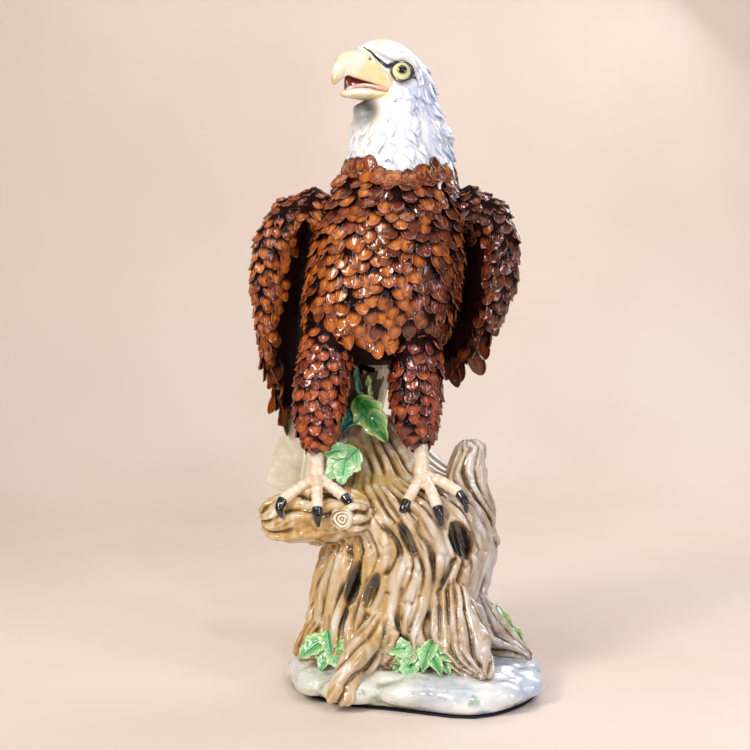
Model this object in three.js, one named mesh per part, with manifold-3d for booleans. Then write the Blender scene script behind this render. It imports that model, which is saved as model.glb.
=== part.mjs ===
// A painted eagle statuette: a bird perched on a broken tree stump, cast and glued up from separate pieces.
// Millimetres, +Z up, origin at the centre of the felt's underside. The chest faces -Y. Left and right are
// the bird's own, so its left wing is on +X. The head turns to its right and looks up.
import * as THREE from "three";
import { mergeVertices } from "three/addons/utils/BufferGeometryUtils.js";
import Module from "manifold-3d";

const wasm = await Module();
wasm.setup();

// Driving dimensions.
const GAP = 0.3; // glue line between two pieces
const FELT = 1.2; // thickness of the felt sheet
const BASE_BOTTOM = FELT + GAP;
const BASE_TOP = 22;
const EYE_RADIUS = 6.4;
const EYE_SEAT = new THREE.Vector3(1.5, 12.2, 0.4); // forward, left, up in the head's own frame
const HEAD_AT = new THREE.Vector3(-13, 0, 375.3);
const HEAD_YAW = THREE.MathUtils.degToRad(205); // 0 looks along +X
const HEAD_PITCH = THREE.MathUtils.degToRad(18); // beak up
const ROD_RADIUS = 1.5; // steel rods in the thin shanks
const PEG_RADIUS = 4; // wooden pegs at the neck and the wing roots
const LEAF_THICK = 1.6;

const AXIS = {
  x: new THREE.Vector3(1, 0, 0),
  y: new THREE.Vector3(0, 1, 0),
  z: new THREE.Vector3(0, 0, 1),
};

// ---- Solids -------------------------------------------------------------------------------------

// A closed geometry as a manifold-3d solid.
function solid(geometry) {
  const bare = new THREE.BufferGeometry();
  bare.setAttribute("position", geometry.getAttribute("position"));
  bare.setIndex(geometry.getIndex());
  const merged = mergeVertices(bare, 1e-4);
  return new wasm.Manifold(
    new wasm.Mesh({
      numProp: 3,
      vertProperties: new Float32Array(merged.getAttribute("position").array),
      triVerts: new Uint32Array(merged.getIndex().array),
    }),
  );
}

// The largest separate body of a solid: a cut can leave crumbs beside it.
function largest(shape) {
  const bodies = shape.decompose();
  return bodies.reduce((a, b) => (b.volume() > a.volume() ? b : a));
}

function cut(shape, ...cutters) {
  return largest(cutters.reduce((left, cutter) => left.subtract(cutter), shape));
}

function join(...shapes) {
  return shapes.reduce((a, b) => a.add(b));
}

function geometryOf(shape) {
  const mesh = shape.getMesh();
  const geometry = new THREE.BufferGeometry();
  geometry.setAttribute("position", new THREE.BufferAttribute(mesh.vertProperties.slice(), 3));
  geometry.setIndex(new THREE.BufferAttribute(mesh.triVerts.slice(), 1));
  geometry.computeVertexNormals();
  return geometry;
}

// One index list for a stack of rings of the same count, with a point closing each end.
function closeRings(positions, rings, sides, startPoint, endPoint) {
  const index = [];
  const start = rings * sides;
  const end = start + 1;
  positions.push(...startPoint, ...endPoint);
  for (let ring = 0; ring < rings - 1; ring++) {
    for (let j = 0; j < sides; j++) {
      const next = (j + 1) % sides;
      const a = ring * sides + j;
      const b = ring * sides + next;
      index.push(a, b, b + sides, a, b + sides, a + sides);
    }
  }
  for (let j = 0; j < sides; j++) {
    const next = (j + 1) % sides;
    index.push(start, next, j);
    index.push(end, (rings - 1) * sides + j, (rings - 1) * sides + next);
  }
  const geometry = new THREE.BufferGeometry();
  geometry.setAttribute("position", new THREE.Float32BufferAttribute(positions, 3));
  geometry.setIndex(index);
  return geometry;
}

// An organic limb through stations [x, y, z, a, b]: a is the half-size across, b the other half-size.
// `across` is perpendicular to both `ref` and the way the limb runs. Its ends are domes of the depths given.
// The rings stand square to the limb's run, or square to `along` where that is given.
function loft(stations, options = {}) {
  const { sides = 16, steps = 1, grow = 0, ref = AXIS.y, dome = [3, 3], along, relief = () => 1 } = options;
  const line = new THREE.CatmullRomCurve3(stations.map((s) => new THREE.Vector3(s[0], s[1], s[2])));
  const girth = new THREE.CatmullRomCurve3(stations.map((s) => new THREE.Vector3(s[3], s[4], 0)));
  const count = (stations.length - 1) * steps;
  const positions = [];
  const rings = [];
  const tangentAt = (t) => {
    if (along) return along.clone();
    const from = line.getPoint(Math.max(0, t - 0.01));
    return line.getPoint(Math.min(1, t + 0.01)).sub(from).normalize();
  };
  const domeAngles = [60, 30].map(THREE.MathUtils.degToRad);
  const addRing = (t, push, scale) => rings.push({ t, push, scale });
  for (const angle of domeAngles) addRing(0, -(dome[0] + grow) * Math.sin(angle), Math.cos(angle));
  for (let k = 0; k <= count; k++) addRing(k / count, 0, 1);
  for (const angle of [...domeAngles].reverse()) addRing(1, (dome[1] + grow) * Math.sin(angle), Math.cos(angle));
  for (const { t, push, scale } of rings) {
    const tangent = tangentAt(t);
    const across = new THREE.Vector3().crossVectors(ref, tangent).normalize();
    const other = new THREE.Vector3().crossVectors(tangent, across);
    const centre = line.getPoint(t).addScaledVector(tangent, push);
    const size = girth.getPoint(t);
    for (let j = 0; j < sides; j++) {
      const angle = (2 * Math.PI * j) / sides;
      const swell = scale * relief(angle, t);
      const point = centre.clone();
      point.addScaledVector(across, (Math.max(size.x, 0.2) + grow) * swell * Math.cos(angle));
      point.addScaledVector(other, (Math.max(size.y, 0.2) + grow) * swell * Math.sin(angle));
      positions.push(point.x, point.y, point.z);
    }
  }
  const startPoint = line.getPoint(0).addScaledVector(tangentAt(0), -(dome[0] + grow));
  const endPoint = line.getPoint(1).addScaledVector(tangentAt(1), dome[1] + grow);
  return closeRings(positions, rings.length, sides, startPoint.toArray(), endPoint.toArray());
}

// A slab with an irregular outline: each level is [height, scale] of the outline about its centre.
function slab(outline, levels, sides, grow = 0) {
  const curve = new THREE.CatmullRomCurve3(outline.map(([x, y]) => new THREE.Vector3(x, y, 0)), true);
  const centre = new THREE.Vector3();
  outline.forEach(([x, y]) => centre.add(new THREE.Vector3(x, y, 0).divideScalar(outline.length)));
  const positions = [];
  for (const [height, scale] of levels) {
    for (let j = 0; j < sides; j++) {
      const spoke = curve.getPoint(j / sides).sub(centre);
      spoke.setLength(spoke.length() * scale + grow).add(centre);
      positions.push(spoke.x, spoke.y, height);
    }
  }
  const cap = (height) => [centre.x, centre.y, height];
  const last = levels[levels.length - 1][0];
  return closeRings(positions, levels.length, sides, cap(levels[0][0]), cap(last));
}

function pin(from, to, radius, grow = 0) {
  const station = (p) => [p[0], p[1], p[2], radius, radius];
  const upright = Math.abs(to[2] - from[2]) > Math.abs(to[0] - from[0]);
  return solid(loft([station(from), station(to)], {
    sides: 10, grow, ref: upright ? AXIS.y : AXIS.z, dome: [0.5, 0.5],
  }));
}

// ---- Materials ----------------------------------------------------------------------------------

function paint(color, roughness = 0.2, metalness = 0) {
  return new THREE.MeshStandardMaterial({ color, roughness, metalness, flatShading: true });
}

const MATERIAL = {
  brown: paint(0x7a3a1a),
  white: paint(0xeeeeee),
  beak: paint(0xe8dc9a),
  skin: paint(0xe9dcc6),
  eye: paint(0xe6de7a, 0.05),
  tongue: paint(0xc86a6a),
  bark: paint(0xa99a80, 0.3),
  ground: paint(0xc9cfc4, 0.3),
  leaf: paint(0x6fc06a),
  steel: paint(0x9a9a9a, 0.35, 1),
  wood: paint(0xc7a26a, 0.7),
  felt: paint(0x202022, 0.95),
};

const statuette = new THREE.Group();
const headGroup = new THREE.Group();
headGroup.position.copy(HEAD_AT);
headGroup.rotation.set(0, -HEAD_PITCH, HEAD_YAW, "ZYX");
statuette.add(headGroup);
headGroup.updateMatrixWorld(true);
const INTO_HEAD = headGroup.matrixWorld.clone().invert();

function add(name, shape, material, group = statuette) {
  const mesh = new THREE.Mesh(geometryOf(shape), material);
  mesh.name = name;
  group.add(mesh);
  return mesh;
}

// ---- Ground, felt and stump ---------------------------------------------------------------------

// The ground's outline seen from above, anticlockwise from the right.
const GROUND_OUTLINE = [
  [79, -10], [75, 28], [50, 56], [12, 69], [-30, 66], [-62, 44],
  [-79, 8], [-71, -30], [-48, -54], [-9, -71], [33, -86], [65, -58],
];
const GROUND_SIDES = 36;

const groundLevels = (grow) => [
  [BASE_BOTTOM, 0.97],
  [BASE_BOTTOM + 4, 1.0],
  [12, 0.99],
  [17 + grow, 0.94],
  [20.5 + grow, 0.8],
  [BASE_TOP + grow, 0.5],
];
const ground = (grow = 0) => solid(slab(GROUND_OUTLINE, groundLevels(grow), GROUND_SIDES, grow));
const felt = () => solid(slab(GROUND_OUTLINE, [[0, 0.96], [FELT, 0.96]], GROUND_SIDES));

// Bark stands out in ridges that wind a little as they climb.
const barkRelief = (ridges, depth, wind) => (angle, t) => 1 + depth * Math.sin(ridges * angle + wind * t);

const TRUNK = [
  [-9, -4, 16, 60, 50],
  [-10, -2, 28, 55, 47],
  [-13, 0, 45, 50, 43],
  [-8, 0, 66, 50, 40],
  [-2, 0, 88, 50, 41],
  [-3, 0, 108, 48, 41.5],
  [-5, 3, 117, 45, 38],
  [-9, 9, 124, 41, 30],
  [-14, 17, 132, 36, 22],
  [-21, 24, 146, 29, 16],
  [-25, 26, 158, 20, 11],
];
const trunkBody = (grow = 0) =>
  solid(loft(TRUNK, { sides: 32, grow, along: AXIS.z, dome: [4, 7], relief: barkRelief(8, 0.035, 2.5) }));

const LIMBS = {
  perch_branch: {
    stations: [[-20, -6, 106, 26, 16], [-46, -13, 107, 22, 16], [-68, -15, 107, 20, 14.5], [-84, -13, 105, 15, 12]],
    ref: AXIS.z, dome: [2, 9], sides: 18,
  },
  stub_branch: {
    stations: [[28, -2, 92, 19, 18], [33, -3, 108, 15, 14.5], [32, -3, 124, 12, 11], [33, -2, 138, 10, 9], [35, -1, 148, 7.5, 7]],
    ref: AXIS.y, dome: [2, 3], sides: 14,
  },
  knot_stub: {
    stations: [[-30, -18, 106, 10, 10], [-37, -33, 108, 9.5, 9.5], [-41, -43, 109, 9, 8.5]],
    ref: AXIS.z, dome: [1, 1.5], sides: 14,
  },
  root_front_right: {
    stations: [[-20, -28, 52, 9, 9], [-25, -40, 36, 11, 9], [-34, -49, 20, 10, 8], [-42, -54, 8, 7.5, 6]],
    ref: AXIS.y, dome: [1, 3], sides: 14,
  },
  root_front_left: {
    stations: [[18, -28, 62, 13, 12], [23, -41, 42, 16, 12], [29, -55, 25, 15, 9], [34, -66, 15, 10, 5]],
    ref: AXIS.y, dome: [1, 3], sides: 16,
  },
  root_left: {
    stations: [[30, -6, 52, 11, 13], [44, -10, 34, 10, 12], [58, -14, 23, 7, 9], [66, -17, 19, 4, 6]],
    ref: AXIS.y, dome: [1, 3], sides: 12,
  },
  root_right: {
    stations: [[-44, -6, 48, 10, 12], [-58, -10, 32, 9, 11], [-68, -13, 20, 6, 8]],
    ref: AXIS.y, dome: [1, 3], sides: 12,
  },
  root_back: {
    stations: [[-6, 32, 48, 16, 10], [-4, 44, 32, 15, 9], [-2, 56, 20, 11, 6]],
    ref: AXIS.y, dome: [1, 3], sides: 12,
  },
};
const limb = (name, grow = 0) => solid(loft(LIMBS[name].stations, { ...LIMBS[name], grow }));

// ---- Bird ---------------------------------------------------------------------------------------

const TORSO = [
  [-24, 4, 206, 35, 27],
  [-24, 3, 219, 44, 36],
  [-21, 1, 238, 46.5, 40],
  [-18, 0, 262, 46.5, 41],
  [-16, 0, 284, 43.5, 39],
  [-13.5, 0, 300, 38.5, 35.5],
  [-12, 0, 312, 34.5, 33],
];
const torsoBody = (grow = 0) => solid(loft(TORSO, { sides: 24, grow, along: AXIS.z, dome: [8, 3] }));

const NECK = [
  [-8, 1, 304, 22, 21],
  [-9, 0, 316, 33, 31],
  [-9.5, 0, 326, 33.5, 31],
  [-10, 0, 340, 31, 28],
  [-12, 0, 352, 28, 25],
  [-13.5, -1, 363, 25, 22],
  [-10, 0, 375, 18, 17],
];
const neckGeometry = (grow = 0) => loft(NECK, { sides: 20, grow, along: AXIS.z, dome: [2, 4] });

// Head pieces in the head's frame: +X out of the beak, +Y to the bird's left, +Z up.
const SKULL = [
  [-19, 0, 5, 8, 9],
  [-12, 0, 5, 14, 15],
  [-3, 0, 4.5, 17, 18.5],
  [6, 0, 4, 16.5, 18],
  [13, 0, 6, 13, 13],
  [19, 0, 6.5, 9, 8],
  [23, 0, 6.5, 4.5, 3.5],
];
const UPPER_BEAK = [
  [14, 0, -1.5, 9, 8.6],
  [20, 0, -0.3, 9, 9.5],
  [29, 0, -1.4, 7.2, 8.4],
  [35.2, 0, -6, 5, 5.4],
  [37.2, 0, -12.4, 3.2, 3],
  [36.4, 0, -17.6, 1.5, 1.2],
];
const LOWER_BEAK = [
  [3, 0, -15, 10, 4.6],
  [12, 0, -18.6, 8.4, 4.2],
  [22, 0, -21, 5.8, 3.2],
  [28.6, 0, -22.4, 2.6, 1.8],
];
const TONGUE = [
  [6, 0, -11.6, 5, 1.4],
  [15, 0, -13.6, 4.4, 1.3],
  [23, 0, -16.2, 2.6, 1.1],
];
const upperBeak = (grow = 0) => solid(loft(UPPER_BEAK, { sides: 16, grow, ref: AXIS.z, dome: [2, 0.8] }));
const lowerBeak = (grow = 0) => solid(loft(LOWER_BEAK, { sides: 14, grow, ref: AXIS.z, dome: [2, 1.5] }));
const tongueBody = (grow = 0) => solid(loft(TONGUE, { sides: 10, grow, ref: AXIS.z, dome: [1, 1] }));

function eyeball(side, grow = 0) {
  const ball = new THREE.SphereGeometry(EYE_RADIUS + grow, 14, 9);
  ball.deleteAttribute("uv");
  ball.deleteAttribute("normal");
  return solid(ball.translate(EYE_SEAT.x, EYE_SEAT.y * side, EYE_SEAT.z));
}

// Wings and tail, hanging folded. The wing's primaries taper to a blade beside the tail.
const WING_RIGHT = [
  [-50, 2, 288, 11, 13],
  [-62, 2, 297, 11.5, 17],
  [-73, 5, 291, 12.5, 24],
  [-80, 8, 274, 12, 31],
  [-82, 11, 252, 11, 33],
  [-81, 15, 230, 9, 31],
  [-81, 22, 209, 7.5, 26],
  [-80, 31, 188, 6, 17],
  [-79, 37, 170, 4.5, 9],
];
const WING_LEFT = [
  [18, 2, 289, 11, 13],
  [33, 2, 298, 11.5, 17],
  [42, 5, 291, 12.5, 24],
  [45, 8, 275, 12, 31],
  [44, 11, 255, 11.5, 33],
  [38, 16, 236, 10.5, 31],
  [28, 25, 216, 9, 24],
  [11, 37, 199, 6.5, 12],
  [-1, 43, 186, 4.5, 7],
];
const WING_TURN = THREE.MathUtils.degToRad(27); // each wing's rear edge turns in behind the back
const wingBody = (stations, grow = 0) => {
  const inward = stations === WING_RIGHT ? 1 : -1;
  const ref = new THREE.Vector3(inward * Math.sin(WING_TURN), Math.cos(WING_TURN), 0);
  return solid(loft(stations, { sides: 18, grow, ref, dome: [4, 4] }));
};

const TAIL = [
  [-30, 26, 222, 20, 10],
  [-38, 34, 196, 24, 8],
  [-48, 40, 168, 28, 6],
  [-58, 44, 138, 31, 4.5],
  [-66, 46, 112, 31, 3],
];
const tailBody = (grow = 0) => solid(loft(TAIL, { sides: 18, grow, dome: [3, 5] }));

const THIGH_RIGHT = [
  [-50, -8, 226, 16, 17],
  [-53, -12, 208, 16, 18],
  [-57, -14, 190, 15.6, 17],
  [-59, -15, 172, 14.6, 15.5],
  [-60, -15, 157, 11.5, 12],
  [-60, -15.5, 150, 8.5, 9],
];
const THIGH_LEFT = [
  [-3, -8, 226, 15, 17],
  [-1, -12, 208, 15.5, 18],
  [0, -14, 190, 15.6, 17],
  [0.5, -15, 173, 14.6, 15.5],
  [1.5, -15, 160, 12, 12.5],
  [2, -15.5, 153, 9, 9],
];
const thighBody = (stations, grow = 0) => solid(loft(stations, { sides: 16, grow, dome: [4, 2.5] }));

// A foot: the shank, then each toe as its knuckles from the ankle, its last one the claw's root, and the claw's tip.
const FOOT_RIGHT = {
  shank: [[-59.5, -15, 158], [-60, -15.5, 144], [-60, -16, 131]],
  toes: [
    { knuckles: [[-60, -16, 130], [-71, -26, 125], [-80, -32, 119]], claw: [[-82, -35, 114], [-80.5, -36, 109]] },
    { knuckles: [[-60, -17, 130], [-59.5, -31, 125.5], [-59, -39, 115]], claw: [[-59, -41, 109.5], [-58.5, -39.5, 104]] },
    { knuckles: [[-60, -16, 130], [-51, -27, 126], [-43, -33, 121]], claw: [[-40, -36, 117], [-38.5, -36.5, 112]] },
    { knuckles: [[-60, -15, 129], [-61, -3, 125.5], [-61, 7, 119]], claw: [[-61, 10.5, 115], [-61, 11, 110]] },
  ],
};
const FOOT_LEFT = {
  shank: [[2.5, -15, 159], [3.5, -15.5, 145], [4, -16, 132]],
  toes: [
    { knuckles: [[4, -16, 131], [-1, -29, 125.5], [-5.5, -37, 118.5]], claw: [[-8, -40, 114], [-9, -40, 109]] },
    { knuckles: [[4, -17, 131], [8.5, -31, 125], [12.5, -39, 115.5]], claw: [[14, -41.5, 110], [15, -41, 104.5]] },
    { knuckles: [[4, -16, 131], [15, -25, 129], [26, -32, 123]], claw: [[29, -35.5, 118], [30, -36, 112]] },
    { knuckles: [[4, -15, 131], [3, -4, 131], [2, 4, 134]], claw: [[2, 7, 133], [2, 10, 130]] },
  ],
};
const SHANK_RADIUS = 4.6;
const TOE_RADIUS = 3.6;
const CLAW_RADIUS = 2.6;

function toeBody({ knuckles, claw }, grow) {
  const radii = [SHANK_RADIUS, TOE_RADIUS, TOE_RADIUS * 0.9];
  const back = Math.abs(knuckles[2][1]) < 15;
  const toe = knuckles.map((k, i) => [...k, radii[i], radii[i]]);
  const talon = [knuckles[2], ...claw].map((k, i) => [...k, CLAW_RADIUS - i, CLAW_RADIUS - i]);
  const ref = back ? AXIS.x : AXIS.z;
  return join(
    solid(loft(toe, { sides: 8, grow, ref, dome: [2, 2] })),
    solid(loft(talon, { sides: 6, grow, ref: AXIS.x, dome: [1, 0.5] })),
  );
}

function footBody({ shank, toes }, grow = 0) {
  const leg = shank.map((p) => [...p, SHANK_RADIUS, SHANK_RADIUS]);
  return join(solid(loft(leg, { sides: 10, grow, dome: [1, 2] })), ...toes.map((toe) => toeBody(toe, grow)));
}

// ---- Leaves -------------------------------------------------------------------------------------

// Each leaf runs from stalk to tip and is cupped; wide is its half-width, face the way its upper side looks.
const LEAVES = {
  leaf_crest_front: { from: [-35, 6, 176], to: [-19, 1, 153], wide: 8.5, face: [-0.2, -1, 0.2] },
  leaf_crest_low: { from: [-37, -12, 146], to: [-55, -20, 130], wide: 9, face: [0, -1, 0.5] },
  leaf_crest_teal: { from: [-31, 10, 172], to: [-45, 2, 158], wide: 5.5, face: [-0.3, -1, 0.3] },
  leaf_crest_tall: { from: [-30, 18, 166], to: [-36, 2, 196], wide: 4, face: [-0.2, -1, 0] },
  leaf_crest_bud: { from: [-26, 18, 166], to: [-28, 4, 190], wide: 3.5, face: [0.2, -1, 0] },
  leaf_ground_right: { from: [-46, -26, 40], to: [-57, -40, 20], wide: 8, face: [-0.3, -0.9, 0.6] },
  leaf_ground_middle: { from: [2, -44, 33], to: [-12, -55, 21], wide: 7.5, face: [0, -0.7, 0.9] },
  leaf_ground_front: { from: [6, -46, 34], to: [17, -63, 22], wide: 6, face: [0.2, -0.8, 0.8] },
  leaf_ground_left: { from: [47, 10, 46], to: [61, -2, 22], wide: 5.5, face: [0.7, -0.6, 0.4] },
};

function leafBody({ from, to, wide, face }) {
  const start = new THREE.Vector3(...from);
  const run = new THREE.Vector3(...to).sub(start);
  const out = new THREE.Vector3(...face).normalize();
  const bend = run.length() * 0.12;
  const half = LEAF_THICK / 2;
  const shape = [[0, 0.25], [0.25, 0.85], [0.5, 1], [0.78, 0.7], [1, 0.12]];
  const stations = shape.map(([t, width]) => {
    const p = start.clone().addScaledVector(run, t).addScaledVector(out, bend * Math.sin(Math.PI * t));
    return [p.x, p.y, p.z, wide * width, half];
  });
  return solid(loft(stations, { sides: 6, ref: out, dome: [1, 1] }));
}

// ---- Pins and pegs ------------------------------------------------------------------------------

const PINS = {
  leg_rod_right: { from: [-60, -15.5, 108], to: [-57, -14.5, 184], radius: ROD_RADIUS },
  leg_rod_left: { from: [4, -15.8, 100], to: [0.5, -14.5, 184], radius: ROD_RADIUS },
  neck_peg: { from: [-9, 0, 280], to: [-10, 0, 330], radius: PEG_RADIUS },
  wing_peg_right: { from: [-44, 0, 292], to: [-76, 0, 292], radius: PEG_RADIUS },
  wing_peg_left: { from: [12, 0, 292], to: [45, 0, 292], radius: PEG_RADIUS },
};
const pinBody = (name, grow = 0) => pin(PINS[name].from, PINS[name].to, PINS[name].radius, grow);

// ---- Assembly -----------------------------------------------------------------------------------

function addStump() {
  const groundSeat = ground(GAP);
  const trunkSeat = trunkBody(GAP);
  const rods = [pinBody("leg_rod_right", GAP), pinBody("leg_rod_left", GAP)];
  add("felt_sheet", felt(), MATERIAL.felt);
  add("ground_base", ground(), MATERIAL.ground);
  add("trunk", cut(trunkBody(), groundSeat, ...rods), MATERIAL.bark);
  const placed = [groundSeat, trunkSeat, ...rods];
  for (const name of Object.keys(LIMBS)) {
    add(name, cut(limb(name), ...placed), MATERIAL.bark);
    placed.push(limb(name, GAP));
  }
  return placed;
}

function addBody(stumpSeats) {
  const neckSeat = solid(neckGeometry(GAP));
  const torsoSeat = torsoBody(GAP);
  const pins = Object.keys(PINS).map((name) => pinBody(name, GAP));
  add("torso", cut(torsoBody(), neckSeat, ...pins), MATERIAL.brown);

  const feet = { left: footBody(FOOT_LEFT, GAP), right: footBody(FOOT_RIGHT, GAP) };
  add("foot_right", cut(footBody(FOOT_RIGHT), ...stumpSeats, ...pins), MATERIAL.skin);
  add("foot_left", cut(footBody(FOOT_LEFT), ...stumpSeats, ...pins), MATERIAL.skin);

  const thighs = { left: thighBody(THIGH_LEFT, GAP), right: thighBody(THIGH_RIGHT, GAP) };
  add("thigh_right", cut(thighBody(THIGH_RIGHT), torsoSeat, feet.right, ...pins), MATERIAL.brown);
  add("thigh_left", cut(thighBody(THIGH_LEFT), torsoSeat, feet.left, ...pins), MATERIAL.brown);

  const bodySeats = [torsoSeat, thighs.right, thighs.left];
  add("wing_right", cut(wingBody(WING_RIGHT), ...bodySeats, ...pins), MATERIAL.brown);
  add("wing_left", cut(wingBody(WING_LEFT), ...bodySeats, ...pins), MATERIAL.brown);
  const wings = [wingBody(WING_RIGHT, GAP), wingBody(WING_LEFT, GAP)];
  add("tail", cut(tailBody(), ...bodySeats, ...wings, ...stumpSeats), MATERIAL.white);
  for (const name of Object.keys(PINS)) {
    add(name, pinBody(name), name.includes("rod") ? MATERIAL.steel : MATERIAL.wood);
  }
  return [...bodySeats, feet.right, feet.left, tailBody(GAP)];
}

function addHead() {
  const local = (geometry) => solid(geometry.applyMatrix4(INTO_HEAD));
  const peg = solid(loft(
    [PINS.neck_peg.from, PINS.neck_peg.to].map((p) => [...p, PEG_RADIUS, PEG_RADIUS]),
    { sides: 10, grow: GAP, dome: [0.5, 0.5] },
  ).applyMatrix4(INTO_HEAD));
  const skull = solid(loft(SKULL, { sides: 18, ref: AXIS.z, dome: [4, 3] }));
  const casting = join(skull, local(neckGeometry()));
  const seats = [eyeball(1, GAP), eyeball(-1, GAP), upperBeak(GAP), lowerBeak(GAP), tongueBody(GAP), peg];
  add("head_and_neck", cut(casting, ...seats), MATERIAL.white, headGroup);
  add("beak_upper", upperBeak(), MATERIAL.beak, headGroup);
  add("beak_lower", cut(lowerBeak(), upperBeak(GAP)), MATERIAL.beak, headGroup);
  add("tongue", cut(tongueBody(), lowerBeak(GAP), upperBeak(GAP)), MATERIAL.tongue, headGroup);
  add("eye_left", eyeball(1), MATERIAL.eye, headGroup);
  add("eye_right", eyeball(-1), MATERIAL.eye, headGroup);
}

function addLeaves(seats) {
  const placed = [...seats];
  for (const [name, leaf] of Object.entries(LEAVES)) {
    const body = cut(leafBody(leaf), ...placed);
    add(name, body, MATERIAL.leaf);
    placed.push(solid(geometryOf(body)));
  }
}

const stumpSeats = addStump();
const birdSeats = addBody(stumpSeats);
addHead();
addLeaves([...stumpSeats, ...birdSeats]);

export default statuette;
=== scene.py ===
"""Looks for a glossy painted eagle figurine on a tree stump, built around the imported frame."""

import math

import bmesh
import bpy
import numpy as np
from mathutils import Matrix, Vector
from mathutils.bvhtree import BVHTree


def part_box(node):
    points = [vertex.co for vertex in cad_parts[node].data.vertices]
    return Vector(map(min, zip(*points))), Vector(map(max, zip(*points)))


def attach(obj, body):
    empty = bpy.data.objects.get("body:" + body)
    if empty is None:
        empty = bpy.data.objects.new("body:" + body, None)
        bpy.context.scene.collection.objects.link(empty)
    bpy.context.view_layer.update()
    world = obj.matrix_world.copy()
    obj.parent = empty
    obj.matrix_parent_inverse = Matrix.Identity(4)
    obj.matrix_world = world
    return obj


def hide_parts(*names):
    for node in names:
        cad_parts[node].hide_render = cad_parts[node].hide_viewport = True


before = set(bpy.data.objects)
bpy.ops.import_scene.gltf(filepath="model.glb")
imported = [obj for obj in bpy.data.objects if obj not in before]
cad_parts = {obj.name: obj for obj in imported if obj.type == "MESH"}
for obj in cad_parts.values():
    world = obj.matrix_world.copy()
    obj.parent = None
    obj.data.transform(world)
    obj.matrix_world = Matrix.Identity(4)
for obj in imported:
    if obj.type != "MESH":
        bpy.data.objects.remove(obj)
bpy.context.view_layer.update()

MM = 0.001
ROOT = "root"
DOWN = np.array([0.0, 0.0, -1.0])

# ---------------------------------------------------------------- camera, lights, floor


def linked(name, data):
    """A new object in the scene that shows the data."""
    obj = bpy.data.objects.new(name, data)
    bpy.context.scene.collection.objects.link(obj)
    return obj


def aim(obj, target):
    obj.rotation_mode = "QUATERNION"
    way = Vector(target) - obj.location
    obj.rotation_quaternion = way.to_track_quat("-Z", "Y")


def add_camera():
    data = bpy.data.cameras.new("camera")
    data.sensor_width, data.lens = 36.0, 72.4
    data.clip_start, data.clip_end = 0.05, 30.0
    camera = linked("camera", data)
    camera.location = (-0.0247, -0.932, 0.239)
    aim(camera, (-0.0247, 0.0, 0.1923))
    bpy.context.scene.camera = camera


def add_light(name, at, target, size, watts, colour):
    data = bpy.data.lights.new(name, "AREA")
    data.shape = "RECTANGLE"
    data.size, data.size_y = size
    data.energy, data.color = watts, colour
    light = linked(name, data)
    light.location = at
    aim(light, target)


MIDDLE = (0.0, 0.0, 0.22)
LIGHTS = [
    # name, place, what it points at, width and height, watts, colour
    ("key", (-0.80, -0.95, 0.95), MIDDLE, (0.35, 0.45), 11.2, (1.0, 0.96, 0.91)),
    ("fill", (0.95, -0.85, 0.45), MIDDLE, (0.26, 0.50), 3.6, (0.86, 0.88, 1.0)),
    ("rim", (0.60, 0.75, 0.85), MIDDLE, (0.70, 0.50), 5.0, (0.90, 0.94, 1.0)),
    ("spark", (0.28, -1.20, 0.85), MIDDLE, (0.07, 0.07), 3.4, (1.0, 0.98, 1.0)),
    ("spark_low", (-0.40, -1.15, 0.36), (0.0, 0.0, 0.10), (0.06, 0.06), 1.9, (1.0, 0.98, 0.95)),
    ("backdrop_glow", (0.0, -0.5, 1.6), (0.0, 0.9, 0.5), (1.6, 0.6), 8.0, (1.0, 0.95, 0.9)),
]


def add_world():
    scene = bpy.context.scene
    scene.view_settings.view_transform = "Standard"
    scene.world = bpy.data.worlds.new("studio")
    scene.world.use_nodes = True
    ambient = scene.world.node_tree.nodes["Background"]
    ambient.inputs["Color"].default_value = (0.95, 0.93, 1.0, 1.0)
    ambient.inputs["Strength"].default_value = 0.20


def add_backdrop():
    """A floor that bends up into a wall behind the object, in metres."""
    half, near, deep, high, bend, rows = 4.0, -3.0, 0.75, 2.6, 0.35, 40
    profile = [(near, 0.0)]
    for k in range(rows + 1):
        angle = 0.5 * math.pi * k / rows
        profile.append((deep + bend * math.sin(angle), bend * (1 - math.cos(angle))))
    profile.append((deep + bend, high))
    verts = [(x, y, z) for x in (-half, half) for y, z in profile]
    n = len(profile)
    mesh = bpy.data.meshes.new("backdrop")
    mesh.from_pydata(verts, [], [(i, i + n, i + n + 1, i + 1) for i in range(n - 1)])
    mesh.shade_smooth()
    mesh.materials.append(floor_material())
    floor = linked("backdrop", mesh)


# ---------------------------------------------------------------- node helpers


def rgb(r, g, b):
    """A colour given as 0-255 screen values, in the linear values that shaders take."""
    def linear(c):
        c /= 255.0
        return c / 12.92 if c <= 0.04045 else ((c + 0.055) / 1.055) ** 2.4

    return (linear(r), linear(g), linear(b), 1.0)


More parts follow.
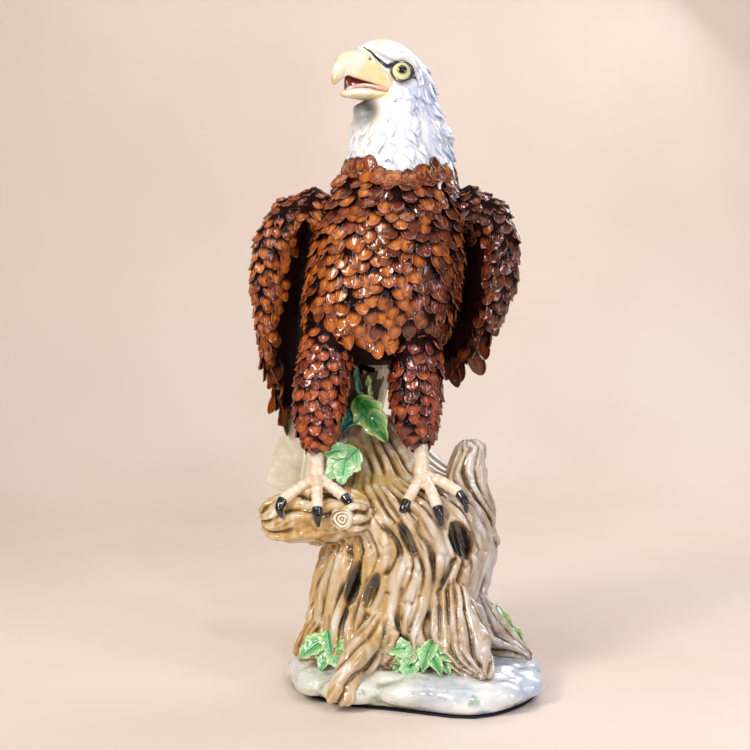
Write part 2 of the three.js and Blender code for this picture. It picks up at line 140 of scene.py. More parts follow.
class Nodes:
    """Short names for building a node material."""

    def __init__(self, name, roughness, coat=0.0, coat_roughness=0.04, metallic=0.0):
        self.material = bpy.data.materials.new(name)
        self.material.use_nodes = True
        self.tree = self.material.node_tree
        self.shader = self.tree.nodes["Principled BSDF"]
        self.shader.inputs["Roughness"].default_value = roughness
        self.shader.inputs["Coat Weight"].default_value = coat
        self.shader.inputs["Coat Roughness"].default_value = coat_roughness
        self.shader.inputs["Metallic"].default_value = metallic

    def new(self, kind, **values):
        node = self.tree.nodes.new(kind)
        for key, value in values.items():
            setattr(node, key, value)
        return node

    def link(self, a, b):
        self.tree.links.new(a, b)

    def put(self, socket, value):
        if isinstance(value, bpy.types.NodeSocket):
            self.link(value, socket)
        else:
            socket.default_value = value

    def attribute(self, name):
        return self.new("ShaderNodeAttribute", attribute_name=name).outputs["Fac"]

    def math(self, operation, a, b=0.0, clamp=False):
        node = self.new("ShaderNodeMath", operation=operation, use_clamp=clamp)
        self.put(node.inputs[0], a)
        self.put(node.inputs[1], b)
        return node.outputs[0]

    def ramp(self, value, stops, smooth=True):
        """stops are (position, value) pairs of numbers or colours."""
        node = self.new("ShaderNodeValToRGB")
        node.color_ramp.interpolation = "EASE" if smooth else "LINEAR"
        elements = node.color_ramp.elements
        while len(elements) < len(stops):
            elements.new(0.5)
        for element, (position, colour) in zip(elements, stops):
            element.position = position
            if not hasattr(colour, "__len__"):
                colour = (colour, colour, colour, 1.0)
            element.color = colour
        self.put(node.inputs[0], value)
        return node.outputs["Color"]

    def mix(self, factor, a, b, blend="MIX"):
        node = self.new("ShaderNodeMix", data_type="RGBA", blend_type=blend)
        self.put(node.inputs["Factor"], factor)
        self.put(node.inputs[6], a)
        self.put(node.inputs[7], b)
        return node.outputs[2]

    def noise(self, scale, detail=3.0, rough=0.55, stretch=None, distortion=0.0):
        node = self.new("ShaderNodeTexNoise")
        node.inputs["Scale"].default_value = scale
        node.inputs["Detail"].default_value = detail
        node.inputs["Roughness"].default_value = rough
        node.inputs["Distortion"].default_value = distortion
        vector = self.new("ShaderNodeTexCoord").outputs["Object"]
        if stretch:
            mapping = self.new("ShaderNodeMapping")
            mapping.inputs["Scale"].default_value = stretch
            self.link(vector, mapping.inputs["Vector"])
            vector = mapping.outputs["Vector"]
        self.link(vector, node.inputs["Vector"])
        return node.outputs["Fac"]

    def over(self, colour, paint, value, low, high, share=1.0):
        """The colour with a share of paint laid over it where the value rises from low to high."""
        return self.mix(self.ramp(value, [(low, 0.0), (high, share)]), colour, paint)

    def bump(self, height, strength, distance):
        node = self.new("ShaderNodeBump")
        node.inputs["Strength"].default_value = strength
        node.inputs["Distance"].default_value = distance
        self.put(node.inputs["Height"], height)
        self.link(node.outputs["Normal"], self.shader.inputs["Normal"])

    def done(self, colour, roughness=None):
        self.put(self.shader.inputs["Base Color"], colour)
        if roughness is not None:
            self.put(self.shader.inputs["Roughness"], roughness)
        return self.material


WHITE = rgb(250, 248, 244)
# The dark yellow-green of the painted shade round the throat's hollow.
OLIVE_SHADE = rgb(48, 42, 18)
# Deep brown for the feathers' shaft lines and, darkened further, for the painted shade at their roots.
DARK_ROOT = rgb(40, 6, 2)


def floor_material():
    n = Nodes("pale_floor", 0.55)
    tone = n.noise(3.0, detail=2.0)
    return n.done(n.ramp(tone, [(0.3, rgb(234, 217, 202)), (0.7, rgb(240, 225, 212))]))


def plume_material(name, palette, bright, dark, lip, coat=1.0):
    """Single feathers: a bright middle, a root darkened by painted shade under the feather above and by dark
    paint pooled there, fine lines beside the shaft, and a thin paler lip that is a painted highlight along
    the rim.
    """
    n = Nodes(name, 0.2, coat, 0.04)
    u, v, pick = n.attribute("plume_u"), n.attribute("plume_v"), n.attribute("plume_pick")
    side = n.math("ABSOLUTE", u)
    mottle, patchy_tint = n.noise(420.0), n.noise(75.0)
    tone = n.math("ADD", pick, n.math("MULTIPLY", n.math("SUBTRACT", patchy_tint, 0.5), 0.9), clamp=True)
    base = n.ramp(tone, [(k / (len(palette) - 1), rgb(*c)) for k, c in enumerate(palette)], smooth=False)
    middle = n.math("MULTIPLY", n.ramp(side, [(0.1, 1.0), (0.8, 0.0)]),
                    n.ramp(v, [(0.42, 0.0), (0.62, 1.0), (0.95, 0.5)]))
    middle = n.math("MULTIPLY", middle, n.ramp(tone, [(0.25, 0.1), (0.8, 1.0)]))
    colour = n.mix(n.math("MULTIPLY", middle, 0.75), base, bright)
    lines = n.math("SINE", n.math("ADD", n.math("MULTIPLY", u, 15.0), n.math("MULTIPLY", mottle, 5.0)))
    colour = n.over(colour, dark, lines, 0.55, 1.0, 0.24)
    # A painted highlight: the paler lip along the rim, laid on in patches.
    edge = n.math("MAXIMUM", n.ramp(side, [(0.86, 0.0), (0.95, 1.0)]), n.ramp(v, [(0.93, 0.0), (0.975, 1.0)]))
    rim_highlight_patches = n.ramp(mottle, [(0.35, 0.0), (0.65, 0.45)])
    colour = n.mix(n.math("MULTIPLY", edge, rim_highlight_patches), colour, lip)
    # Painted shade: near black at the root, where the feather above covers it, with dark paint pooled there
    # too.
    root = n.ramp(v, [(0.34, 1.0), (0.66, 0.0)])
    colour = n.mix(root, colour, (0.3 * dark[0], 0.3 * dark[1], 0.3 * dark[2], 1.0))
    n.bump(n.math("ADD", n.math("MULTIPLY", lines, -0.5), n.math("MULTIPLY", mottle, 0.9)), 0.4, 0.0004)
    n.shader.inputs["Specular IOR Level"].default_value = 0.22
    n.link(n.math("MULTIPLY", n.ramp(v, [(0.40, 0.0), (0.66, 1.0)]), coat), n.shader.inputs["Coat Weight"])
    return n.done(colour, n.ramp(mottle, [(0.3, 0.10), (0.75, 0.24)]))


def bark_material():
    n = Nodes("bark_paint", 0.25, 0.9, 0.05)
    groove, fine, warm = n.attribute("groove"), n.attribute("fine"), n.attribute("warm")
    grain = n.noise(120.0, detail=4.0, stretch=(1.0, 1.0, 0.25), distortion=0.5)
    speck = n.noise(700.0, detail=2.0)
    depth = n.math("ADD", groove, n.math("MULTIPLY", n.math("SUBTRACT", grain, 0.5), 0.30), clamp=True)
    pale = n.mix(warm, rgb(230, 228, 236), rgb(236, 230, 212))
    pale = n.over(pale, rgb(208, 196, 178), n.noise(30.0), 0.45, 0.7, 0.5)
    ochre = n.mix(warm, rgb(176, 158, 136), rgb(196, 152, 74))
    colour = n.over(pale, ochre, depth, 0.41, 0.55)
    colour = n.over(colour, rgb(104, 74, 38), depth, 0.52, 0.66)
    colour = n.over(colour, rgb(28, 17, 9), depth, 0.64, 0.80)
    colour = n.over(colour, rgb(96, 70, 44), fine, 0.66, 0.95, 0.35)
    tint = n.ramp(n.noise(46.0, detail=2.0), [(0.50, 0.0), (0.70, 0.34)])
    colour = n.mix(n.math("MULTIPLY", tint, warm), colour, rgb(206, 170, 96))
    colour = n.over(colour, rgb(240, 232, 214), speck, 0.62, 0.8, 0.35)
    n.bump(n.math("ADD", grain, n.math("MULTIPLY", speck, 0.25)), 0.5, 0.0006)
    return n.done(colour, n.ramp(grain, [(0.3, 0.16), (0.7, 0.34)]))


def ground_material():
    n = Nodes("ground_paint", 0.25, 0.9, 0.05)
    right, patch, speck = n.attribute("side"), n.noise(34.0, detail=4.0), n.noise(240.0)
    colour = n.ramp(patch, [(0.28, rgb(150, 172, 140)), (0.42, rgb(222, 224, 212)),
                            (0.58, rgb(238, 238, 236)), (0.74, rgb(196, 206, 206))])
    colour = n.over(colour, rgb(128, 122, 98), n.attribute("groove"), 0.5, 0.85, 0.8)
    stain = n.mix(right, rgb(196, 176, 118), rgb(136, 164, 206))
    colour = n.over(colour, stain, n.noise(22.0), 0.40, 0.72, 0.7)
    colour = n.over(colour, rgb(112, 146, 104), n.noise(60.0, detail=4.0), 0.58, 0.7, 0.7)
    colour = n.over(colour, rgb(140, 150, 128), speck, 0.56, 0.75, 0.4)
    rim = n.mix(right, rgb(118, 98, 58), rgb(58, 86, 140))
    colour = n.over(colour, rim, n.attribute("low"), 0.1, 0.9, 0.85)
    n.bump(n.math("ADD", n.math("MULTIPLY", patch, 0.6), n.math("MULTIPLY", speck, 0.5)), 0.45, 0.0009)
    return n.done(colour, n.ramp(speck, [(0.3, 0.14), (0.7, 0.36)]))


def white_material():
    n = Nodes("white_paint", 0.24, 0.8, 0.06)
    olive_shade, hollow = n.attribute("olive_shade"), n.attribute("hollow")
    mottle = n.noise(170.0)
    brush = n.noise(260.0, detail=2.0, stretch=(1.0, 1.0, 0.25))
    colour = n.over(WHITE, rgb(238, 240, 244), mottle, 0.35, 0.7)
    colour = n.mix(n.attribute("yellow"), colour, rgb(238, 216, 146))
    # Painted shade: the bluish shade of the nape, the far side and the brow, broken into brush strokes.
    patchy_tint = n.math("MULTIPLY", n.attribute("blue_shade"), n.ramp(brush, [(0.36, 0.15), (0.62, 1.0)]), clamp=True)
    colour = n.mix(patchy_tint, colour, rgb(152, 172, 214))
    # Painted shade in the throat's hollow: dark bluish in its core, dark yellow-green round it.
    colour = n.mix(hollow, colour, rgb(96, 98, 132))
    # Painted shade: bluish grey in the grooves between the white feathers.
    colour = n.over(colour, rgb(146, 156, 184), n.attribute("groove"), 0.52, 0.9, 0.62)
    colour = n.mix(olive_shade, colour, OLIVE_SHADE)
    n.bump(n.math("ADD", n.math("MULTIPLY", mottle, 0.5), brush), 0.35, 0.0004)
    dull = n.math("MAXIMUM", olive_shade, hollow, clamp=True)
    n.link(n.ramp(dull, [(0.1, 0.8), (0.7, 0.0)]), n.shader.inputs["Coat Weight"])
    rough = n.ramp(mottle, [(0.3, 0.18), (0.7, 0.34)])
    return n.done(colour, n.math("MAXIMUM", rough, n.math("MULTIPLY", dull, 0.7)))


def hackle_material():
    n = Nodes("hackle_paint", 0.24, 0.8, 0.06)
    mottle = n.noise(300.0)
    colour = n.mix(n.attribute("plume_pick"), WHITE, rgb(236, 238, 246))
    colour = n.mix(n.attribute("yellow"), colour, rgb(240, 222, 168))
    brush = n.noise(200.0, detail=2.0, stretch=(1.0, 1.0, 0.3))
    # Painted shade: the same bluish shade on the hackles, broken into brush strokes.
    patchy_tint = n.math("MULTIPLY", n.attribute("blue_shade"), n.ramp(brush, [(0.34, 0.1), (0.62, 1.0)]), clamp=True)
    colour = n.mix(patchy_tint, colour, rgb(140, 164, 212))
    # Painted shade where the hackles lie by the throat's hollow.
    colour = n.mix(n.attribute("olive_shade"), colour, OLIVE_SHADE)
    u = n.attribute("plume_u")
    lines = n.math("SINE", n.math("ADD", n.math("MULTIPLY", u, 13.0), n.math("MULTIPLY", mottle, 4.0)))
    colour = n.over(colour, rgb(186, 192, 214), lines, 0.6, 1.0, 0.28)
    # Painted shade: bluish grey at each hackle's root, under the feather above.
    colour = n.mix(n.ramp(n.attribute("plume_v"), [(0.25, 0.7), (0.6, 0.0)]), colour, rgb(186, 192, 212))
    n.bump(n.math("ADD", n.math("MULTIPLY", lines, -0.5), n.math("MULTIPLY", mottle, 0.6)), 0.4, 0.0003)
    return n.done(colour, n.ramp(mottle, [(0.3, 0.16), (0.7, 0.32)]))


def mouth_material():
    n = Nodes("mouth_paint", 0.25, 0.8, 0.05)
    mottle = n.noise(260.0)
    dark = n.ramp(mottle, [(0.3, rgb(84, 20, 12)), (0.7, rgb(124, 38, 24))])
    bright = n.ramp(mottle, [(0.3, rgb(150, 30, 30)), (0.7, rgb(188, 58, 50))])
    n.bump(mottle, 0.4, 0.0004)
    return n.done(n.mix(n.attribute("back"), dark, bright), n.ramp(mottle, [(0.3, 0.2), (0.7, 0.4)]))


def tongue_material():
    """Red on the tongue, pale pink on the lips beside it."""
    n = Nodes("tongue_paint", 0.2, 1.0, 0.05)
    mottle = n.noise(240.0)
    lips = n.ramp(mottle, [(0.3, rgb(226, 158, 146)), (0.7, rgb(240, 192, 178))])
    tongue = n.ramp(mottle, [(0.3, rgb(176, 40, 36)), (0.7, rgb(206, 78, 66))])
    n.bump(mottle, 0.3, 0.0003)
    return n.done(n.mix(n.attribute("back"), lips, tongue), n.ramp(mottle, [(0.3, 0.14), (0.7, 0.3)]))


def beak_material():
    n = Nodes("beak_paint", 0.2, 1.0, 0.04)
    mottle = n.noise(150.0)
    colour = n.ramp(mottle, [(0.3, rgb(230, 218, 174)), (0.55, rgb(238, 230, 210)),
                             (0.8, rgb(232, 208, 166))])
    colour = n.mix(n.math("MULTIPLY", n.attribute("tip"), 0.8), colour, rgb(200, 160, 90))
    colour = n.mix(n.attribute("cere"), colour, rgb(228, 208, 132))
    colour = n.mix(n.attribute("inner"), colour, rgb(96, 24, 18))
    colour = n.mix(n.attribute("nostril"), colour, rgb(14, 8, 8))
    n.bump(n.noise(330.0, detail=2.0), 0.2, 0.0003)
    return n.done(colour, n.ramp(mottle, [(0.3, 0.12), (0.7, 0.26)]))


def simple_paint(name, low, high, scale=150.0, roughness=(0.14, 0.3), coat=1.0, bump=0.25, depth=0.0003):
    """A mottled paint of two colours."""
    n = Nodes(name, roughness[0], coat, 0.04)
    mottle = n.noise(scale, detail=4.0)
    colour = n.ramp(mottle, [(0.32, rgb(*low)), (0.68, rgb(*high))])
    n.bump(n.noise(scale * 2.2), bump, depth)
    return n.done(colour, n.ramp(mottle, [(0.3, roughness[0]), (0.7, roughness[1])]))


def skin_material():
    n = Nodes("foot_paint", 0.26, 0.8, 0.06)
    mottle = n.noise(210.0)
    colour = n.ramp(mottle, [(0.3, rgb(232, 208, 178)), (0.7, rgb(244, 228, 206))])
    colour = n.over(colour, rgb(196, 142, 78), n.attribute("groove"), 0.5, 0.8, 0.8)
    colour = n.mix(n.attribute("stain"), colour, rgb(222, 160, 62))
    n.bump(mottle, 0.3, 0.0003)
    return n.done(colour, n.ramp(mottle, [(0.3, 0.18), (0.7, 0.34)]))


def eye_material():
    """Rings round the gaze: a black pupil, a pale yellow iris and a black rim."""
    n = Nodes("eye_paint", 0.06, 1.0, 0.01)
    fibre = n.noise(900.0, detail=2.0)
    ring = n.math("ADD", n.attribute("gaze"), n.math("MULTIPLY", n.math("SUBTRACT", fibre, 0.5), 0.05))
    colour = n.ramp(ring, [
        (0.0, rgb(4, 4, 6)), (0.30, rgb(4, 4, 6)), (0.335, rgb(150, 140, 60)), (0.43, rgb(222, 222, 158)),
        (0.74, rgb(240, 240, 196)), (0.86, rgb(176, 176, 110)), (0.93, rgb(12, 10, 10)), (1.0, rgb(6, 6, 8)),
    ], smooth=False)
    n.bump(fibre, 0.04, 0.0001)
    return n.done(colour)


def leaf_material(name, middle, edge, vein):
    n = Nodes(name, 0.2, 1.0, 0.04)
    v, side = n.attribute("leaf_v"), n.math("ABSOLUTE", n.attribute("leaf_u"))
    blotch = n.noise(180.0)
    colour = n.over(middle, edge, side, 0.35, 0.95)
    ribs = n.math("SINE", n.math("ADD", n.math("MULTIPLY", v, 44.0), n.math("MULTIPLY", side, -16.0)))
    shaft = n.ramp(side, [(0.02, 1.0), (0.12, 0.0)])
    line = n.math("MAXIMUM", n.ramp(ribs, [(0.80, 0.0), (1.0, 0.75)]), shaft)
    colour = n.mix(line, colour, vein)
    colour = n.over(colour, edge, blotch, 0.5, 0.72, 0.45)
    n.bump(n.math("ADD", n.math("MULTIPLY", line, -1.0), n.math("MULTIPLY", blotch, 0.4)), 0.5, 0.0004)
    return n.done(colour, n.ramp(blotch, [(0.3, 0.12), (0.7, 0.3)]))


SIMPLE_PAINTS = {
    # material, darker and lighter colour, scale of the mottling, roughness, coat, bump strength and depth
    "felt": ("felt_cloth", (24, 24, 28), (44, 44, 50), 2600.0, (0.9, 1.0), 0.0, 0.8, 0.0004),
    "steel": ("rod_steel", (140, 140, 142), (176, 176, 180), 900.0, (0.3, 0.45), 0.0, 0.15, 0.0001),
    "wood": ("peg_wood", (170, 128, 80), (206, 168, 116), 400.0, (0.6, 0.75), 0.0, 0.4, 0.0002),
    # under: near-black painted shade on the body beneath the feathers, seen in the gaps between them.
    "under": ("plume_gap_shade", (12, 2, 2), (34, 6, 4), 300.0, (0.5, 0.7), 0.0, 0.5, 0.0005),
    "black": ("black_paint", (8, 8, 10), (22, 20, 24), 200.0, (0.08, 0.2)),
    "tail_core": ("tail_core_paint", (220, 208, 180), (238, 230, 208)),
}
LEAF_PAINTS = {
    # colours of the middle, the edge and the veins
    "leaf_bright": ((104, 184, 108), (206, 234, 176), (30, 122, 72)),
    "leaf_lime": ((44, 140, 52), (206, 232, 150), (18, 92, 50)),
    "leaf_pale": ((136, 204, 132), (206, 232, 184), (40, 128, 84)),
    "leaf_teal": ((16, 112, 104), (88, 176, 150), (10, 66, 84)),
    "leaf_dark": ((84, 150, 66), (186, 214, 130), (22, 96, 44)),
}


def plume_paints():
    brown = [(68, 18, 8), (104, 38, 12), (138, 60, 16), (172, 86, 24)]
    red = [(80, 20, 12), (114, 36, 16), (144, 56, 22), (170, 78, 30)]
    cream = [(226, 210, 170), (240, 230, 204)]
    # Each takes a palette, a bright middle, a dark colour for the shaft lines and the painted shade at the
    # roots, and a painted highlight for the rim.
    return {
        "plume": plume_material("plume_paint", brown, rgb(216, 130, 44), DARK_ROOT, rgb(196, 124, 72)),
        "plume_red": plume_material("plume_red_paint", red, rgb(206, 112, 50), DARK_ROOT, rgb(200, 126, 84)),
        "tail": plume_material("tail_paint", cream, rgb(248, 242, 226), rgb(190, 170, 126),
                               rgb(250, 246, 236), coat=0.6),
    }


def make_paints():
    """Every material of the object, by a short name."""
    paints = {key: simple_paint(*values) for key, values in SIMPLE_PAINTS.items()}
    under = paints["under"].node_tree.nodes["Principled BSDF"]
    under.inputs["Specular IOR Level"].default_value = 0.08
    paints.update(plume_paints())
    paints["hackle"], paints["mouth"] = hackle_material(), mouth_material()
    paints["tongue"] = tongue_material()
    paints["bark"], paints["ground"], paints["white"] = bark_material(), ground_material(), white_material()
    paints["beak"], paints["skin"], paints["eye"] = beak_material(), skin_material(), eye_material()
    for key, colours in LEAF_PAINTS.items():
        paints[key] = leaf_material(key + "_paint", *(rgb(*colour) for colour in colours))
    return paints


# ---------------------------------------------------------------- number and mesh helpers


def lattice(ix, iy, iz, seed):
    n = (ix * 374761393 + iy * 668265263 + iz * 1274126177 + seed * 2654435) & 0xFFFFFFFF
    n = ((n ^ (n >> 13)) * 1274126177) & 0xFFFFFFFF
    return ((n ^ (n >> 16)) & 0xFFFF) / 65535.0


def noise(points, scale, seed=0, octaves=1):
    """Smooth value noise in -1..1 at points in metres. scale is the size of its lumps in millimetres."""
    total, weight, out = 0.0, 1.0, np.zeros(len(points))
    for octave in range(octaves):
        p = points / (scale * MM) * 2**octave
        cell = np.floor(p).astype(np.int64)
        f = p - cell
        f = f * f * (3 - 2 * f)
        value = np.zeros(len(points))
        for dx in (0, 1):
            for dy in (0, 1):
                for dz in (0, 1):
                    share = np.abs(1 - dx - f[:, 0]) * np.abs(1 - dy - f[:, 1]) * np.abs(1 - dz - f[:, 2])
                    corner = (cell[:, 0] + dx, cell[:, 1] + dy, cell[:, 2] + dz)
                    value += share * lattice(*corner, seed + 17 * octave)
        out += weight * (value * 2 - 1)
        total += weight
        weight *= 0.5
    return out / total


def smoothstep(low, high, x):
    t = np.clip((x - low) / (high - low), 0.0, 1.0)
    return t * t * (3 - 2 * t)


def unit(v):
    return v / np.maximum(np.linalg.norm(v, axis=-1, keepdims=True), 1e-12)


def catmull(points, steps):
    """Points on a smooth curve through rows of numbers, steps to each gap."""
    p = np.asarray(points, float)
    p = np.vstack([2 * p[0] - p[1], p, 2 * p[-1] - p[-2]])
    out = []
    for i in range(1, len(p) - 2):
        for k in range(steps):
            t = k / steps
            out.append(0.5 * ((2 * p[i]) + (p[i + 1] - p[i - 1]) * t
                              + (2 * p[i - 1] - 5 * p[i] + 4 * p[i + 1] - p[i + 2]) * t**2
                              + (-p[i - 1] + 3 * p[i] - 3 * p[i + 1] + p[i + 2]) * t**3))
    out.append(p[-2])
    return np.array(out)


def build(name, verts, faces, material=None, values=None):
    """A smooth-shaded object from arrays. values are named numbers, one for each vertex."""
    mesh = bpy.data.meshes.new(name)
    mesh.from_pydata(np.asarray(verts).tolist(), [], faces if isinstance(faces, list) else faces.tolist())
    mesh.shade_smooth()
    mesh.update()
    if material:
        mesh.materials.append(material)
    obj = linked(name, mesh)
    set_values(obj, **(values or {}))
    return obj


def discard(obj):
    mesh = obj.data
    bpy.data.objects.remove(obj)
    bpy.data.meshes.remove(mesh)


def paint_over(mesh, material):
    mesh.materials.clear()
    mesh.materials.append(material)


def coordinates(mesh):
    co = np.zeros(len(mesh.vertices) * 3)
    mesh.vertices.foreach_get("co", co)
    return co.reshape(-1, 3)


def vertex_normals(mesh):
    out = np.zeros(len(mesh.vertices) * 3)
    mesh.vertex_normals.foreach_get("vector", out)
    return out.reshape(-1, 3)


def points_and_normals(obj):
    return coordinates(obj.data), vertex_normals(obj.data)


def mesh_shell(mesh):
    return coordinates(mesh), [list(polygon.vertices) for polygon in mesh.polygons]


def free_shell(bm, push=0.0):
    """A bmesh's vertices, pushed out by push metres, and its faces. The bmesh is freed."""
    verts = np.array([v.co + v.normal * push for v in bm.verts])
    faces = [[v.index for v in f.verts] for f in bm.faces]
    bm.free()
    return verts, faces


def ball_shell(subdivisions, radius):
    bm = bmesh.new()
    bmesh.ops.create_icosphere(bm, subdivisions=subdivisions, radius=radius)
    return free_shell(bm)


def node_shell(name, push=0.0):
    """A CAD node's surface as one closed shell, its vertices pushed out by push metres."""
    bm = bmesh.new()
    bm.from_mesh(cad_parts[name].data)
    bmesh.ops.remove_doubles(bm, verts=bm.verts, dist=1e-6)
    bm.normal_update()
    return free_shell(bm, push)


def surface(*names, push=0.0):
    """A search tree over the surfaces of CAD nodes."""
    verts, faces = stack([node_shell(n, push) for n in names])
    return BVHTree.FromPolygons(verts.tolist(), faces)


def stack(shells):
    """Several shells as one list of vertices and faces."""
    verts, faces, start = [], [], 0
    for v, f in shells:
        verts.append(np.asarray(v))
        faces += [[i + start for i in face] for face in f]
        start += len(v)
    return np.vstack(verts), faces


def fuse(name, shells, voxel, relax):
    """Overlapping closed shells as one skin: a voxel remesh, then relaxed."""
    verts, faces = stack(shells)
    raw = build(name + "_raw", verts, faces)
    remesh = raw.modifiers.new("remesh", "REMESH")
    remesh.mode, remesh.voxel_size, remesh.adaptivity = "VOXEL", voxel, 0.0
    smooth = raw.modifiers.new("smooth", "SMOOTH")
    smooth.factor, smooth.iterations = 0.5, relax
    graph = bpy.context.evaluated_depsgraph_get()
    mesh = bpy.data.meshes.new_from_object(raw.evaluated_get(graph))
    discard(raw)
    mesh.name = name
    mesh.shade_smooth()
    obj = linked(name, mesh)
    keep_largest(obj)
    return obj


def keep_largest(obj):
    """Drops small loose shells that a remesh can leave inside a body."""
    bm = bmesh.new()
    bm.from_mesh(obj.data)
    bm.verts.ensure_lookup_table()
    group = [-1] * len(bm.verts)
    sizes = []
    for start in bm.verts:
        if group[start.index] >= 0:
            continue
        label, queue, count = len(sizes), [start], 0
        group[start.index] = label
        while queue:
            v = queue.pop()
            count += 1
            for e in v.link_edges:
                w = e.other_vert(v)
                if group[w.index] < 0:
                    group[w.index] = label
                    queue.append(w)
        sizes.append(count)
    if len(sizes) > 1:
        best = sizes.index(max(sizes))
        bmesh.ops.delete(bm, geom=[v for v in bm.verts if group[v.index] != best], context="VERTS")
        bm.to_mesh(obj.data)
    bm.free()


def relaxed(mesh, values, times):
    """Rows of values at a mesh's points, after a few rounds of averaging each with its neighbours'."""
    edges = np.zeros(len(mesh.edges) * 2, np.int64)
    mesh.edges.foreach_get("vertices", edges)
    a, b = edges.reshape(-1, 2).T
    count = len(values)
    degree = np.maximum(np.bincount(a, minlength=count) + np.bincount(b, minlength=count), 1)[:, None]
    for _ in range(times):
        total = np.empty_like(values)
        for c in range(values.shape[1]):
            total[:, c] = np.bincount(a, values[b, c], count) + np.bincount(b, values[a, c], count)
        values = 0.4 * values + 0.6 * total / degree
    return values


def groove_values(mesh, times, reach):
    """0 on a ridge, 0.5 where flat, 1 in a groove that is reach metres deep or more."""
    points = coordinates(mesh)
    hollow = ((relaxed(mesh, points, times) - points) * vertex_normals(mesh)).sum(1)
    return np.clip(0.5 + 0.5 * hollow / reach, 0, 1)


def set_values(obj, **values):
    for key, numbers in values.items():
        layer = obj.data.attributes.get(key) or obj.data.attributes.new(key, "FLOAT", "POINT")
        layer.data.foreach_set("value", np.asarray(numbers, np.float32))


def move(obj, points):
    obj.data.vertices.foreach_set("co", np.asarray(points, np.float32).ravel())
    obj.data.update()


def finish_piece(obj, material, slot, *nodes):
    paint_over(obj.data, material)
    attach(obj, ROOT)
    if nodes:
        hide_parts(*nodes)
    return obj


def ring_faces(rows, sides):
    """Quads between rings of points, one ring after another."""
    faces = []
    for i in range(rows - 1):
        for j in range(sides):
            k = (j + 1) % sides
            faces.append([i * sides + j, i * sides + k, (i + 1) * sides + k, (i + 1) * sides + j])
    return faces


def capped_faces(rows, sides):
    """The quads between rings, and fans that close the ends on two points that follow the rings."""
    faces = ring_faces(rows, sides)
    first, last = rows * sides, rows * sides + 1
    for j in range(sides):
        k = (j + 1) % sides
        faces.append([first, k, j])
        faces.append([last, (rows - 1) * sides + j, (rows - 1) * sides + k])
    return faces


def tube(points, radii, sides=8, flat=1.0, ref=(0.0, 0.0, 1.0)):
    """A closed round bar along points with a radius at each. flat scales it along the second direction."""
    points, radii = np.asarray(points, float), np.asarray(radii, float)
    tangent = unit(np.gradient(points, axis=0))
    side = np.cross(np.broadcast_to(ref, tangent.shape), tangent)
    weak = np.linalg.norm(side, axis=1) < 0.2
    side[weak] = np.cross(np.array([0.3, 1.0, 0.1]), tangent[weak])
    side = unit(side)
    other = np.cross(tangent, side)
    angle = np.linspace(0, 2 * np.pi, sides, endpoint=False)[None, :, None]
    spokes = np.cos(angle) * side[:, None] + flat * np.sin(angle) * other[:, None]
    ring = points[:, None] + radii[:, None, None] * spokes
    first = points[0] - tangent[0] * radii[0] * 0.7
    last = points[-1] + tangent[-1] * radii[-1] * 0.7
    return np.vstack([ring.reshape(-1, 3), first, last]), capped_faces(len(points), sides)


def sheet_faces(rows, columns):
    """The faces of a thin closed sheet: a grid of points on top, then the same grid underneath."""
    grid = np.arange(rows * columns).reshape(rows, columns)
    a, b, c, d = grid[:-1, :-1], grid[:-1, 1:], grid[1:, 1:], grid[1:, :-1]
    top = np.stack([a, d, c, b], -1).reshape(-1, 4)
    under = np.stack([a, b, c, d], -1).reshape(-1, 4) + rows * columns
    border = np.concatenate([grid[0, :-1], grid[:-1, -1], grid[-1, :0:-1], grid[:0:-1, 0]])
    following = np.roll(border, -1)
    wall = np.stack([border, following, following + rows * columns, border + rows * columns], -1)
    return np.vstack([top, under, wall])


# ---------------------------------------------------------------- feathers

PLUME_U = np.array([-1.0, -0.88, -0.62, -0.3, 0.0, 0.3, 0.62, 0.88, 1.0])
PLUME_V = np.array([0.0, 0.22, 0.42, 0.56, 0.69, 0.81, 0.90, 0.96, 1.0])


def plume_outline(v, shape):
    """Half-width share along a feather: 'scale' is a blunt petal, 'lance' pointed and 'blade' a long vane."""
    if shape == "scale":
        belly = 0.55 + 0.45 * np.sin(np.pi * np.clip(v / 1.16, 0, 1)) ** 0.8
        end = np.clip(1 - np.clip((v - 0.52) / 0.48, 0, 1) ** 2.6, 0, 1) ** 0.52
        return np.maximum(belly * end, 0.07)
    if shape == "lance":
        belly = 0.55 + 0.45 * np.sin(np.pi * np.clip(v * 1.15, 0, 1))
        return np.maximum(belly * (1 - np.clip((v - 0.35) / 0.65, 0, 1) ** 1.7), 0.05)
    end = np.sqrt(np.clip(1 - np.clip((v - 0.78) / 0.22, 0, 1) ** 2.2, 0, 1))
    return np.maximum((0.75 + 0.25 * np.sin(np.pi * 0.9 * v)) * end, 0.08)


